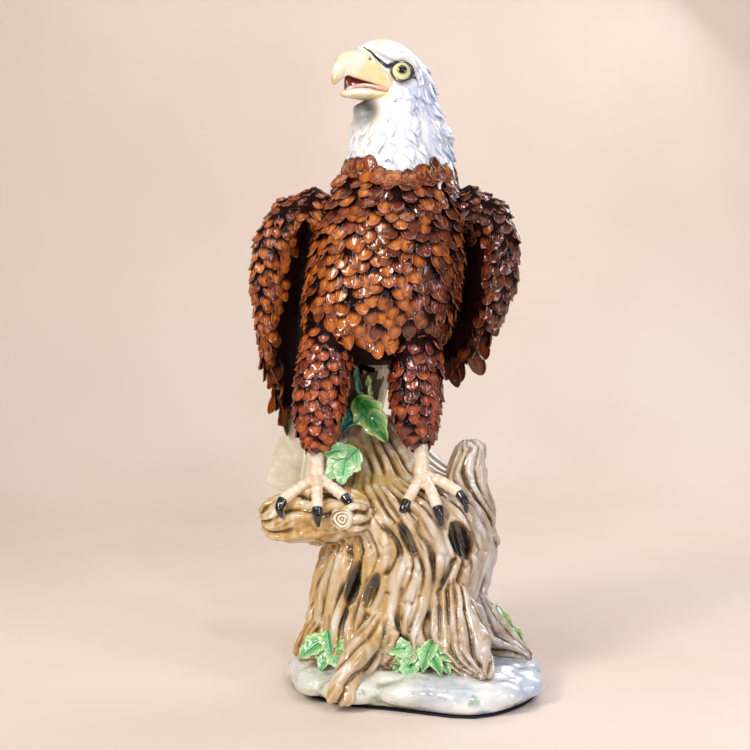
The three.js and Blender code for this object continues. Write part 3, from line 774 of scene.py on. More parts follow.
class Plumage:
    """Collects feathers laid on a surface, each a closed thin solid."""

    def __init__(self, tree, shape="scale", rows=PLUME_V, hang=(1.6, 4.0)):
        self.tree, self.shape, self.rows, self.hang = tree, shape, rows, hang
        self.verts, self.u, self.v, self.pick = [], [], [], []

    def base_points(self, spots, wrap):
        """Spots moved onto the surface, with the surface's normals. Far from it they hang free."""
        flat, normals = np.empty_like(spots), np.empty_like(spots)
        near, far = self.hang[0] * MM * wrap, self.hang[1] * MM * wrap
        for i, spot in enumerate(spots):
            hit, normal, _, distance = self.tree.find_nearest(spot)
            share = min(max((distance - near) / (far - near), 0.0), 1.0)
            flat[i] = np.asarray(hit) * (1 - share) + spot * share
            normals[i] = normal
        return flat, normals

    def lay(self, root, down, normal, length, width, lift, crown, pick,
            lean=0.0, tilt=0.0, thick=1.1, lip=0.8, cup=0.0, show=0.0):
        """One feather, sizes in millimetres. lift is its (root, tip) height over the surface, crown its arch
        and cup its hollow. show above 0 keeps the root free of the painted shade that darkens feather roots."""
        down = unit(down - normal * (down @ normal))
        side = np.cross(down, normal)
        down = unit(down + side * lean)
        side = np.cross(down, normal)
        v, u = (a.ravel() for a in np.meshgrid(self.rows, PLUME_U, indexing="ij"))
        half = 0.5 * width * plume_outline(v, self.shape)
        sway = 0.06 * length * tilt * v * v
        spots = root + (side * ((u * half + sway) * MM)[:, None]) + down * ((v * length) * MM)[:, None]
        flat, normals = self.base_points(spots, 1.0 + 1.8 * float(smoothstep(-0.1, 0.5, normal[2])))
        normals = unit(0.6 * normals + 0.4 * normal)
        far = smoothstep(0.3, 0.7, v)
        arch = crown * (1 - np.abs(u) ** 2.2) * np.sin(np.pi * np.clip(0.15 + 0.75 * v, 0, 1)) ** 0.7
        hollow = -cup * (1 - u**2) * far
        rim = lip * np.maximum(smoothstep(0.7, 0.95, np.abs(u)), smoothstep(0.86, 0.98, v)) * far
        shaft = 0.25 * np.exp(-((u / 0.2) ** 2)) * smoothstep(0.1, 0.4, v) * (1 - smoothstep(0.75, 0.95, v))
        height = lift[0] + (lift[1] - lift[0]) * v**1.25 + arch + hollow + rim + shaft + tilt * u * 0.6
        drop = (arch + hollow + rim) * 0.75 + thick * (0.7 + 0.5 * (1 - v)) + 0.2
        for rise in (height, height - drop):
            self.verts.append(flat + normals * (rise * MM)[:, None])
        self.u += [u, u * 0.8]
        # The undersides get a low plume_v, which paints them with the roots' painted shade.
        self.v += [show + (1 - show) * v, v * 0.35]
        self.pick.append(np.full(len(u) * 2, pick))

    def make(self, name, material):
        one = sheet_faces(len(self.rows), len(PLUME_U))
        starts = np.arange(len(self.pick)) * 2 * len(self.rows) * len(PLUME_U)
        faces = (one[None] + starts[:, None, None]).reshape(-1, 4)
        values = {"plume_u": self.u, "plume_v": self.v, "plume_pick": self.pick}
        values = {key: np.concatenate(parts) for key, parts in values.items()}
        obj = build(name, np.vstack(self.verts), faces, material, values)
        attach(obj, ROOT)
        return obj


def outline_at(verts, faces, height):
    """The loop where a closed shell meets a level plane, as points in order round its middle."""
    points = []
    z = verts[:, 2] - height
    for face in faces:
        for i, j in zip(face, face[1:] + face[:1]):
            if i < j and (z[i] < 0) != (z[j] < 0):
                t = z[i] / (z[i] - z[j])
                points.append(verts[i] + (verts[j] - verts[i]) * t)
    if len(points) < 6:
        return None
    points = np.array(points)
    middle = (points.min(0) + points.max(0)) / 2
    points = points[np.argsort(np.arctan2(points[:, 1] - middle[1], points[:, 0] - middle[0]))]
    return points, middle


def scatter(verts, faces, spacing, rng, keep=None):
    """Points spread evenly over a surface, each spacing(point) millimetres from the next, as an array."""
    verts = np.asarray(verts)
    corners = np.array([[f[0], f[i], f[i + 1]] for f in faces for i in range(1, len(f) - 1)])
    a, b, c = (verts[corners[:, k]] for k in range(3))
    area = 0.5 * np.linalg.norm(np.cross(b - a, c - a), axis=1)
    count = int(area.sum() / (4.0 * MM) ** 2 * 26)
    which = rng.choice(len(area), count, p=area / area.sum())
    r, t = rng.uniform(size=(2, count))
    flip = r + t > 1
    r[flip], t[flip] = 1 - r[flip], 1 - t[flip]
    points = a[which] + (b[which] - a[which]) * r[:, None] + (c[which] - a[which]) * t[:, None]
    if keep is not None:
        points = points[keep(points)]
    cell, grid, taken = 12.0 * MM, {}, []
    for point in points:
        reach = spacing(point) * MM
        key = tuple((point // cell).astype(int))
        near = [q for dx in (-1, 0, 1) for dy in (-1, 0, 1) for dz in (-1, 0, 1)
                for q in grid.get((key[0] + dx, key[1] + dy, key[2] + dz), ())]
        if near and (np.linalg.norm(np.array(near) - point, axis=1) < reach).any():
            continue
        grid.setdefault(key, []).append(point)
        taken.append(point)
    return np.array(taken)


def ring_spots(loop, spacing):
    """Points an equal way apart along a closed loop."""
    closed = np.vstack([loop, loop[:1]])
    run = np.concatenate([[0], np.cumsum(np.linalg.norm(np.diff(closed, axis=0), axis=1))])
    count = max(int(round(run[-1] / spacing)), 5)
    at = np.arange(count) / count * run[-1]
    return np.stack([np.interp(at, run, closed[:, c]) for c in range(3)], 1)


def inside_any(point, trees):
    """True where a point lies inside one of the closed surfaces, not far below its skin."""
    shallow, deep = 0.6 * MM, 12 * MM
    for tree in trees:
        hit, normal, _, distance = tree.find_nearest(point)
        sunk = (hit - Vector(point)).dot(normal)
        if shallow < sunk and distance < deep and sunk > 0.6 * distance:
            return True
    return False


def smooth_shell(*nodes, relax=5):
    """CAD nodes as one smooth shell of vertices and faces, a little proud, for laying feathers on."""
    obj = fuse("smooth_shell", [node_shell(n, 0.3 * MM) for n in nodes], 2.2 * MM, relax)
    shell = mesh_shell(obj.data)
    discard(obj)
    return shell


def clothe(shell, name, material, size, pick, seed, others=(), rise=1.1, crown=1.3, hang=(1.6, 4.0), wild=0.5,
           keep=None, extra=None, bare=None):
    """Covers a shell with brown feathers that point down it. size(point) gives (width, spacing, length) in
    mm. The side that faces the way 'bare' stays without feathers, and extra(plumes, tree, rng) adds more."""
    rng = np.random.default_rng(seed)
    verts, faces = shell
    tree = BVHTree.FromPolygons(verts.tolist(), faces)
    middle = (verts.min(0) + verts.max(0)) / 2
    plumes = Plumage(tree, hang=hang)
    for spot in scatter(verts, faces, lambda p: size(p)[1], rng, keep):
        draws = rng.uniform(size=7)
        if inside_any(spot, others):
            continue
        hit, normal, _, _ = tree.find_nearest(spot)
        normal = np.asarray(normal)
        if normal[2] < -0.55 or (bare is not None and normal @ bare > 0.72):
            continue
        away = (spot - middle) * [1, 1, 0]
        down = DOWN + unit(away) * (0.9 * max(normal[2], 0.0))
        width, _, length = size(spot)
        flat_top = 1.0 - 0.55 * float(smoothstep(0.3, 0.9, normal[2]))
        lift = (-1.2, rise * flat_top * (0.7 + 0.7 * draws[3]))
        plumes.lay(np.asarray(hit), down, normal, length * (0.86 + 0.3 * draws[1]),
                   width * (0.94 + 0.26 * draws[2]), lift, crown * (0.4 + draws[4]), pick(spot, draws[0]),
                   (draws[5] - 0.5) * wild, (draws[6] - 0.5) * 2.2, cup=0.7 * (draws[1] * 1.6 - 0.3))
    if extra:
        extra(plumes, tree, rng)
    plumes.make(name, material)


# ---------------------------------------------------------------- stump

TRUNK_RIDGES = 32
LIMBS = {
    # how many ropes, their radius in millimetres, random seed, where they run along the limb, how many ridges
    "perch_branch": (9, 3.0, 3, (0.02, 0.98), 11),
    "stub_branch": (7, 2.4, 4, (0.1, 0.96), 9),
    "knot_stub": (5, 1.6, 5, (0.2, 0.9), 7),
    "root_front_right": (7, 2.4, 20, (0.0, 0.99), 8),
    "root_front_left": (7, 2.4, 21, (0.0, 0.99), 12),
    "root_left": (5, 2.4, 22, (0.0, 0.99), 10),
    "root_right": (5, 2.4, 23, (0.0, 0.99), 8),
    "root_back": (5, 2.4, 24, (0.0, 0.99), 10),
}
STUMP_NODES = ["trunk", *LIMBS]


def limb_axes(node):
    """A limb's vertices, their middle, and its long, side and other directions."""
    verts, _ = node_shell(node)
    middle = verts.mean(0)
    _, _, axes = np.linalg.svd(verts - middle, full_matrices=False)
    return verts, middle, axes


def trunk_axis():
    """The middle of the trunk at any height."""
    verts, faces = node_shell("trunk")
    levels = np.linspace(verts[:, 2].min() + 0.002, verts[:, 2].max() - 0.002, 24)
    found = [(z, outline_at(verts, faces, z)) for z in levels]
    z, x, y = np.array([[z, *f[1][:2]] for z, f in found if f]).T
    return lambda height: np.array([np.interp(height, z, x), np.interp(height, z, y), height])


def cast_rope(tree, steps):
    """A rope on a surface through steps of (start, way, height over the surface, radius) that find it."""
    points, radii = [], []
    for start, way, out, radius in steps:
        hit, normal, _, _ = tree.ray_cast(start, way)
        if hit is not None:
            points.append(np.asarray(hit) + np.asarray(normal) * out)
            radii.append(radius)
    return [tube(points, radii, 8, 0.85)] if len(points) > 5 else []


def trunk_strands(tree):
    """Ropes of wood that wind down the trunk and spread at its foot."""
    rng = np.random.default_rng(11)
    axis = trunk_axis()
    shells = []
    count, gaps = 46, 26
    for k in range(count):
        start = 2 * math.pi * (k + rng.uniform(-0.25, 0.25)) / count
        high = rng.uniform(0.106, 0.132) if k % 3 else rng.uniform(0.075, 0.11)
        low = 0.021 if k % 4 else rng.uniform(0.03, 0.06)
        wobble, phase = rng.uniform(0.02, 0.06), rng.uniform(0, 6.28)
        thick = rng.uniform(2.4, 4.6)
        steps = []
        for i in range(gaps + 1):
            t = i / gaps
            z = high + (low - high) * t
            angle = start - 0.75 * smoothstep(0.085, 0.155, z) + wobble * math.sin(5 * t + phase)
            way = Vector((math.cos(angle), math.sin(angle), 0.0))
            out = 0.8 * MM + 2.0 * MM * float(smoothstep(0.06, 0.022, z))
            taper = math.sin(math.pi * min(max(t * 0.92 + 0.06, 0), 1)) ** 0.45
            radius = max(thick * MM * taper * (1 + 0.22 * math.sin(9 * t + phase)), 0.7 * MM)
            steps.append((Vector(axis(z)) + way * 0.12, -way, out, radius))
        shells += cast_rope(tree, steps)
    return shells


def limb_strands(node, count, thick, seed, ends):
    """Ropes of wood along a branch or a root."""
    rng = np.random.default_rng(seed)
    tree = surface(node)
    verts, middle, (run, side, other) = limb_axes(node)
    along = (verts - middle) @ run
    low, high = along.min(), along.max()
    shells = []
    gaps = 18
    for k in range(count):
        start = 2 * math.pi * (k + rng.uniform(-0.2, 0.2)) / count
        twist, phase = rng.uniform(-0.35, 0.35), rng.uniform(0, 6.28)
        size = rng.uniform(0.75, 1.25) * thick
        steps = []
        for i in range(gaps + 1):
            t = ends[0] + (ends[1] - ends[0]) * i / gaps
            place = low + (high - low) * t
            near = verts[np.abs(along - place) < 0.2 * (high - low)]
            centre = middle + run * place
            if len(near):
                offset = near.mean(0) - middle
                centre = centre + side * (offset @ side) + other * (offset @ other)
            angle = start + twist * t + 0.12 * math.sin(6 * t + phase)
            way = side * math.cos(angle) + other * math.sin(angle)
            radius = size * MM * (0.55 + 0.45 * math.sin(math.pi * (0.1 + 0.8 * i / gaps)))
            steps.append((Vector(centre + way * 0.08), Vector(-way), 0.5 * MM, radius))
        shells += cast_rope(tree, steps)
    return shells


def toe_strands():
    """The front left root's toe: three ropes that reach down over the ground's edge."""
    shells = []
    path = np.array([(-20, -38, 46), (-27, -49, 39), (-35, -60, 31), (-42, -68, 20), (-45, -71, 8)], float)
    for sway, thick in ((0, 8.0), (-5, 4.0), (5, 4.5)):
        toe = catmull(path + [sway, 0, 0], 7)
        shells.append(tube(toe * MM, np.linspace(thick, 0.72 * thick, len(toe)) * MM, 14))
    return shells


def knot_frame(tree, centre, up):
    """The surface's point nearest a knot's centre, its normal, and the directions up and across the knot."""
    hit, normal, _, _ = tree.find_nearest(Vector(centre) * MM)
    normal = np.asarray(normal)
    up = unit(np.asarray(up, float) - normal * (np.asarray(up, float) @ normal))
    return np.asarray(hit), normal, up, np.cross(up, normal)


def ring_on(tree, centre, up, across, along, thick):
    """A knot's rim: an oval rope lying on the surface round a point."""
    hit, _, up, side = knot_frame(tree, centre, up)
    angle = np.linspace(0, 2 * np.pi, 29)
    oval = side[None] * (across * np.cos(angle))[:, None] + up[None] * (along * np.sin(angle))[:, None]
    points = []
    for spot in hit + oval * MM:
        near, out, _, _ = tree.find_nearest(spot)
        points.append(np.asarray(near) + np.asarray(out) * 0.8 * MM)
    return tube(points, np.full(len(points), thick * MM), 8)


KNOTS = [
    # centre, long direction, half width, half length, depth of the hollow, all in millimetres
    ((29, -40, 95), (-0.45, 0, 1), 6.5, 13, 4.5),
    ((-39, -40, 70), (0.25, 0, 1), 4.5, 14, 2.5),
    ((-27, -42, 66), (0.35, 0, 1), 4.0, 12, 2.5),
    ((-4, -40, 97), (-0.5, 0, 1), 3.5, 12, 3.0),
    ((-33, -50, 24), (0.45, 0, 1), 2.6, 9, 3.5),
    ((-8, -44, 30), (0.1, 0, 1), 5.5, 9, 4.5),
    ((20, 40, 92), (0.3, 0, 1), 6.0, 12, 4.0),
    ((-50, 20, 78), (0.2, 0, 1), 5.0, 13, 3.5),
    ((46, 14, 74), (-0.2, 0, 1), 4.5, 12, 3.0),
]


def carve(points, tree, centre, up, across, along, depth):
    """Points sunk to make an oval hollow with soft sides."""
    hit, normal, up, side = knot_frame(tree, centre, up)
    away = points - hit
    oval = ((away @ side) / (across * MM)) ** 2 + ((away @ up) / (along * MM)) ** 2
    reach = np.abs(away @ normal) < 14 * MM
    sink = np.where(reach, np.clip(1 - oval, 0, 1) ** 0.6, 0.0)
    return points - normal[None] * (sink * depth * MM)[:, None], sink


def knot_flow(points, tree, knot):
    """How far a knot pushes the wood's lines aside, in millimetres."""
    centre, up, across, along, _ = knot
    hit, normal, up, side = knot_frame(tree, centre, up)
    away = (points - hit) / MM
    s, t = away @ side, away @ up
    oval = (s / (across + 2)) ** 2 + (t / (along + 2)) ** 2
    near = np.exp(-((away @ normal) / 16.0) ** 2)
    return s / np.maximum(oval, 1.0) * near * smoothstep(9.0, 1.0, oval)


def limb_phase(points, node):
    """The angle round a limb's own middle line."""
    verts, middle, (run, side, other) = limb_axes(node)
    along = (verts - middle) @ run
    bins = np.array_split(np.argsort(along), 6)
    at = np.array([along[b].mean() for b in bins])
    place = (points - middle) @ run
    sway_side = np.interp(place, at, [((verts[b] - middle) @ side).mean() for b in bins])
    sway_other = np.interp(place, at, [((verts[b] - middle) @ other).mean() for b in bins])
    return np.arctan2((points - middle) @ other - sway_other, (points - middle) @ side - sway_side)


def ridged(phase, power):
    """Long ridges with grooves between them, sharper where the power is lower."""
    return 2 * np.abs(np.sin(phase)) ** power - 1.15


def limb_weights(points):
    """How much each of the stump's nodes counts at each point, by which is nearest."""
    distances = []
    for name in STUMP_NODES:
        limb = surface(name)
        distances.append([limb.find_nearest(p)[3] for p in points])
    distances = np.array(distances)
    weights = np.exp(-(distances - distances.min(0)) / (1.2 * MM))
    return weights / weights.sum(0)


def wood_relief(points, tree):
    """Broad and fine ridges, about -1..1, which follow each limb and part round the knots."""
    axis = trunk_axis()
    levels = np.linspace(0.0, 0.17, 40)
    centres = np.array([axis(z) for z in levels])
    cx, cy = (np.interp(points[:, 2], levels, centres[:, k]) for k in (0, 1))
    angle = np.arctan2(points[:, 0] - cx, cy - points[:, 1])
    wind = 0.95 * smoothstep(0.070, 0.160, points[:, 2])
    pushed = sum(knot_flow(points, tree, knot) for knot in KNOTS)
    bend = 5.2 * noise(points * [1, 1, 0.6], 38, 61) + 2.4 * noise(points * [1, 1, 0.5], 15, 63)
    ripple = 3.0 * noise(points, 17, 67)
    relief, fine = np.zeros(len(points)), np.zeros(len(points))
    for name, weight in zip(STUMP_NODES, limb_weights(points)):
        if name == "trunk":
            turn = angle + wind + pushed / 46.0
            phase = TRUNK_RIDGES * turn + bend
            broad = smoothstep(34, 20, np.hypot(points[:, 0] - cx, points[:, 1] - cy) / MM)
            coarse = ridged(0.5 * (13 * turn + 0.6 * bend), 0.95)
            ridge = ridged(0.5 * phase, 0.95) * (1 - broad) + coarse * broad
        else:
            phase = LIMBS[name][4] * limb_phase(points, name) + bend
            ridge = ridged(0.5 * phase, 0.95)
        relief += weight * ridge
        fine += weight * ridged(1.5 * phase + ripple, 0.9)
    return relief, fine


def stump_shells(tree):
    """The stump's nodes a little proud, with ropes of wood and the knots' rims on them."""
    shells = [node_shell(n, 0.35 * MM) for n in STUMP_NODES]
    shells += trunk_strands(surface("trunk"))
    for node, (count, thick, seed, ends, _) in LIMBS.items():
        shells += limb_strands(node, count, thick, seed, ends)
    shells += toe_strands()
    for centre, up, across, along, _ in KNOTS:
        shells.append(ring_on(tree, centre, up, across + 1.6, along + 1.6, 1.7))
    return shells


def make_stump(bark):
    tree = surface(*STUMP_NODES, push=0.4 * MM)
    voxel = 0.9
    stump = fuse("stump_casting", stump_shells(tree), voxel * MM, 6)
    points, normals = points_and_normals(stump)
    relief, fine = wood_relief(points, tree)
    calm = 1 - 0.3 * smoothstep(128, 148, points[:, 2] / MM)
    strength = np.clip(0.95 + 0.9 * noise(points, 20, 71), 0.25, 1.6) * calm
    minor = np.clip(0.4 + 1.2 * noise(points, 15, 73), 0.0, 1.2) * calm * calm
    minor = minor * smoothstep(120, 100, points[:, 2] / MM)
    points = points + normals * ((relief * 1.6 * strength + fine * 0.45 * minor) * MM)[:, None]
    hollow = np.zeros(len(points))
    for knot in KNOTS:
        points, sink = carve(points, tree, *knot)
        hollow = np.maximum(hollow, sink)
    points[:, 2] = np.maximum(points[:, 2], 1.6 * MM)
    move(stump, points)
    cut = np.maximum(smoothstep(-0.35, -1.15, relief) * strength, 0.7 * smoothstep(-0.5, -1.2, fine) * minor)
    groove = 0.6 * groove_values(stump.data, 16, 1.7 * MM) + 0.4 * (0.42 + 0.58 * np.clip(cut, 0, 1))
    groove = np.maximum(groove, 0.5 + 0.5 * hollow * (hollow > 0.05))
    warm = np.clip(0.5 - points[:, 0] / 0.11 + 0.4 * noise(points, 22, 9, 2), 0, 1)
    set_values(stump, groove=relaxed(stump.data, groove[:, None], 2)[:, 0],
               fine=groove_values(stump.data, 5, 0.6 * MM), warm=warm)
    finish_piece(stump, bark, "bark_glaze", *STUMP_NODES)


LUMPS = [
    # middle and half sizes of the swellings round the ground's edge, in millimetres
    ((63, -20, 13), (15, 16, 8)), ((62, -46, 11), (15, 16, 8)), ((38, -70, 11), (24, 13, 8)),
    ((2, -68, 11), (28, 12, 8)), ((-36, -62, 11), (22, 12, 8)), ((-61, -40, 11), (13, 18, 8)),
    ((-64, 4, 11), (11, 24, 8)), ((-40, 46, 11), (24, 12, 8)), ((4, 56, 11), (24, 11, 8)),
    ((48, 38, 11), (18, 18, 8)), ((-18, -58, 17), (12, 9, 5)), ((34, -58, 17), (12, 9, 5)),
]


def ellipsoid(centre, half):
    verts, faces = ball_shell(4, 1.0)
    return (verts * half + centre) * MM, faces


def make_knot_face(bark):
    """The round cut end of the stub in front of the perch: a rim, a dished face and raised rings."""
    low, high = (np.asarray(corner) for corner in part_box("knot_stub"))
    tip = np.array([low[0] + 5.5 * MM, low[1] + 1.0 * MM, (low[2] + high[2]) / 2 + 1.5 * MM])
    way = unit(np.array([-0.45, -0.88, 0.12]))
    side = unit(np.cross(way, [0.0, 0.0, 1.0]))
    up = np.cross(side, way)
    rows, columns, radius = 22, 40, 7.0
    turns = np.linspace(0, 2 * np.pi, columns, endpoint=False)
    r, t = (a.ravel() for a in np.meshgrid(np.linspace(0, 1, rows), turns, indexing="ij"))
    rings = 0.45 * np.cos(r * 19) * (r < 0.86)
    height = 1.0 + rings + 1.5 * smoothstep(0.72, 0.88, r) - 5.0 * smoothstep(0.92, 1.0, r)
    reach = radius * r * (1 + 0.07 * np.sin(3 * t + 1))
    disc = side * (reach * np.cos(t))[:, None] + up * (reach * np.sin(t) * 0.9)[:, None]
    top = tip + (way * height[:, None] + disc) * MM
    faces = ring_faces(rows, columns)
    faces.append([(rows - 1) * columns + j for j in range(columns)])
    groove = np.clip(0.42 - 0.5 * rings * (r > 0.08), 0, 1)
    values = {"groove": groove, "fine": np.zeros(len(r)), "warm": np.full(len(r), 0.9)}
    face = build("knot_stub_face", top, faces, None, values)
    finish_piece(face, bark, "bark_glaze")


def make_ground(material):
    shells = [node_shell("ground_base")] + [ellipsoid(centre, half) for centre, half in LUMPS]
    ground = fuse("ground_casting", shells, 1.4 * MM, 14)
    points, normals = points_and_normals(ground)
    top = smoothstep(3 * MM, 9 * MM, points[:, 2])
    bump = 1.9 * noise(points * [1, 1, 0.6], 17, 31, 2) + 0.8 * noise(points, 8, 33, 2)
    points = points + normals * (top * bump * MM)[:, None]
    points[:, 2] = np.maximum(points[:, 2], 1.5 * MM)
    move(ground, points)
    edge = 1 - smoothstep(2 * MM, 6 * MM, points[:, 2] + noise(points, 9, 35) * 2.0 * MM)
    side = np.clip(0.5 + points[:, 0] / 0.11 + 0.3 * noise(points, 20, 37), 0, 1)
    set_values(ground, groove=groove_values(ground.data, 12, 0.9 * MM), low=edge, side=side)
    finish_piece(ground, material, "ground_glaze", "ground_base")


# ---------------------------------------------------------------- head

HEAD_YAW, HEAD_PITCH = math.radians(205), math.radians(18)
EYE_SEAT = np.array([1.5, 12.2, 0.4])


class HeadFrame:
    """The head's own axes: forward out of the beak, left, and up, in millimetres from between the eyes."""

    def __init__(self):
        cy, sy, cp, sp = math.cos(HEAD_YAW), math.sin(HEAD_YAW), math.cos(HEAD_PITCH), math.sin(HEAD_PITCH)
        self.forward = np.array([cy * cp, sy * cp, sp])
        self.left = np.array([-sy, cy, 0.0])
        self.up = np.cross(self.forward, self.left)
        boxes = [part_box("eye_left"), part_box("eye_right")]
        middle = sum((np.asarray(lo) + np.asarray(hi)) / 2 for lo, hi in boxes) / 2
        self.origin = middle - (self.forward * EYE_SEAT[0] + self.up * EYE_SEAT[2]) * MM

    def world(self, points):
        p = np.asarray(points, float) * MM
        return self.origin + p[..., :1] * self.forward + p[..., 1:2] * self.left + p[..., 2:3] * self.up

    def local(self, points):
        away = (points - self.origin) / MM
        return np.stack([away @ self.forward, away @ self.left, away @ self.up], -1)


def paired_loft(pairs, steps, sides, above=0.85, below=0.85):
    """A shell through sections given as (top forward, top up, bottom forward, bottom up, half width).
    above and below round the upper and lower half of each section, or square it where they are small."""
    angle = np.linspace(0, 2 * np.pi, sides, endpoint=False)
    c, s = np.cos(angle), np.sin(angle)
    power = np.where(c > 0, above, below)
    rings = []
    for tf, tu, bf, bu, wide in catmull(pairs, steps):
        middle = np.array([(tf + bf) / 2, 0, (tu + bu) / 2])
        half = np.array([(tf - bf) / 2, 0, (tu - bu) / 2])
        lateral = max(wide, 0.15) * np.sign(s) * np.abs(s) ** power * (1 - 0.22 * np.clip(c, 0, 1))
        rings.append(middle + half * c[:, None] + np.array([0, 1, 0]) * lateral[:, None])
    verts = np.vstack([*rings, rings[0].mean(0), rings[-1].mean(0)])
    return verts, [face[:1] + face[:0:-1] for face in capped_faces(len(rings), sides)]


# Sections in the head's own frame: top forward and up, bottom forward and up, half width, in millimetres.
UPPER = [
    (6.0, -2.0, 1.5, -12.4, 10.6), (12.3, 5.0, 5.8, -12.8, 11.0), (18.6, 7.8, 11.5, -12.5, 10.5),
    (25.0, 7.6, 17.0, -12.2, 9.2), (30.6, 5.4, 22.0, -12.3, 7.9), (35.6, 2.2, 26.6, -12.4, 6.6),
    (38.6, -2.2, 29.8, -12.2, 5.3), (39.8, -7.4, 31.6, -13.2, 4.1), (39.6, -12.6, 33.0, -15.2, 3.0),
    (38.5, -17.2, 34.5, -18.0, 1.8), (36.6, -19.4, 35.6, -19.6, 0.7),
]
LOWER = [
    (2.0, -11.2, 0.5, -14.2, 10.6), (8.0, -12.0, 5.0, -17.2, 10.2), (14.0, -12.9, 11.5, -19.8, 8.6),
    (19.5, -14.1, 17.5, -21.8, 7.0), (24.5, -16.4, 23.2, -23.2, 5.2), (28.0, -19.4, 27.2, -24.2, 3.2),
    (30.8, -22.0, 30.4, -23.6, 1.0),
]
LINING = [
    (8.0, -9.5, 7.0, -15.5, 8.0), (12.0, -9.6, 11.0, -17.0, 7.2), (18.0, -9.8, 17.0, -18.5, 5.8),
    (24.0, -9.8, 23.0, -19.6, 4.2), (28.5, -10.4, 26.5, -20.6, 2.8), (30.6, -12.5, 28.3, -20.0, 1.5),
]
TONGUE = [
    (8.0, -11.0, 7.0, -15.6, 8.0), (12.0, -11.8, 11.5, -16.6, 7.4), (17.0, -12.8, 16.5, -17.0, 5.8),
    (21.5, -14.6, 21.0, -18.0, 4.0), (25.0, -17.0, 24.8, -19.0, 1.6),
]
SKULL = [
    (28.6, 8.0, 23.0, 2.6, 3.4), (25.0, 11.4, 18.0, -2.0, 6.4), (22.0, 14.6, 14.0, -6.6, 8.6),
    (18.0, 17.2, 9.5, -11.0, 10.8), (12.3, 19.8, 4.0, -13.5, 12.5), (5.5, 20.3, -3.0, -16.0, 13.6),
    (-2.0, 19.0, -9.0, -17.5, 14.3), (-10.0, 16.2, -15.0, -18.5, 14.6), (-17.0, 12.2, -20.0, -19.5, 14.0),
    (-23.0, 6.5, -23.5, -14.0, 11.0), (-26.0, 1.0, -26.0, -6.0, 4.5),
]
LIP = [
    # forward, across and up
    (27.8, 1.4, -19.4), (24.9, 4.0, -16.8), (20.1, 6.1, -14.2), (16.0, 7.5, -13.2), (11.0, 9.0, -12.6),
    (6.5, 10.0, -12.2),
]
NECK = [
    # height, middle x, middle y, half width, half depth
    (300, -9.0, 0.0, 32.0, 29.0), (316, -9.2, 0.0, 33.0, 29.5), (328, -9.8, 0.5, 31.6, 28.3),
    (338, -9.4, 1.0, 30.3, 26.8), (349, -11.0, 1.5, 27.4, 24.0), (357, -12.4, 2.2, 25.4, 21.8),
    (362, -9.5, 4.0, 21.5, 19.5), (370, -5.5, 5.0, 16.0, 17.0), (378, -2.0, 5.0, 9.0, 12.0),
]
HEAD_ROPES = [
    # the brow, the cheek and the jaw: points on the left side, then places along it and the radius there
    ([(24.0, 5.0, 9.6), (17, 9.8, 8.8), (10.5, 13.4, 7.6), (3, 15.8, 8.6), (-6, 14.6, 6.0)],
     [0, 0.3, 0.7, 1], [1.6, 2.6, 2.9, 1.6]),
    ([(1, 11.5, -9.0), (-5, 13.0, -11.0), (-13, 13.6, -12.0)], [0, 0.5, 1], [2.6, 4.6, 3.0]),
    ([(4, 9.4, -18.0), (-3, 12.0, -21.0), (-12, 14.0, -25.0)], [0, 0.5, 1], [2.0, 4.6, 3.4]),
]
LID_LINES = [
    # the painted lines before and behind the left eye: points, then places along it and the radius there
    ([(8.4, 13.0, 2.6), (10.8, 11.6, 0.9), (13.4, 10.6, 1.6), (16.4, 9.4, 3.0),
      (19.2, 8.0, 4.6), (21.6, 6.4, 6.4), (23.8, 4.4, 7.6), (25.6, 2.4, 8.0)],
     [0, 0.3, 0.8, 1], [1.7, 1.1, 0.55, 0.3]),
    ([(-3.2, 14.2, 2.0), (-4.8, 14.6, 0.4), (-6.8, 14.8, 0.0), (-9.4, 14.8, 0.8)], [0, 1], [1.5, 0.45]),
]


def head_piece(head, name, pairs, voxel, relax, extra=(), above=0.85, below=0.85):
    verts, faces = paired_loft(pairs, 6, 36, above, below)
    return fuse(name, [(head.world(verts), faces), *extra], voxel * MM, relax)


def make_upper_beak(head, material):
    upper = head_piece(head, "beak_upper_casting", UPPER, 0.45, 3, below=0.32)
    points, normals = points_and_normals(upper)
    ahead, _, up = head.local(points).T
    nostril = np.exp(-(((ahead - 20.2 + 0.7 * (up - 3.6)) / 1.0) ** 2 + ((up - 3.6) / 2.5) ** 2) ** 1.5)
    points = points - normals * ((nostril * 1.8) * MM)[:, None]
    move(upper, points)
    under = smoothstep(-0.62, -0.9, normals @ head.up) * smoothstep(32.5, 30.5, ahead)
    set_values(upper, tip=smoothstep(-10, -19, up) * smoothstep(28, 34, ahead),
               cere=smoothstep(27.5, 22.0, ahead + 0.1 * up) * 0.55,
               inner=under, nostril=smoothstep(0.3, 0.6, nostril))
    finish_piece(upper, material, "beak_horn", "beak_upper")


def make_lower_beak(head, material):
    lower = head_piece(head, "beak_lower_casting", LOWER, 0.45, 3, above=0.32)
    points, normals = points_and_normals(lower)
    ahead = head.local(points)[:, 0]
    none = np.zeros(len(points))
    # The darker ochre falls on the hook and on every part of the underside that faces down.
    set_values(lower, tip=smoothstep(26, 31, ahead) * 0.5 + 0.5 * smoothstep(-0.3, -0.8, normals @ head.up),
               cere=smoothstep(14, 5, ahead) * 0.5, inner=none, nostril=none)
    finish_piece(lower, material, "beak_horn", "beak_lower")


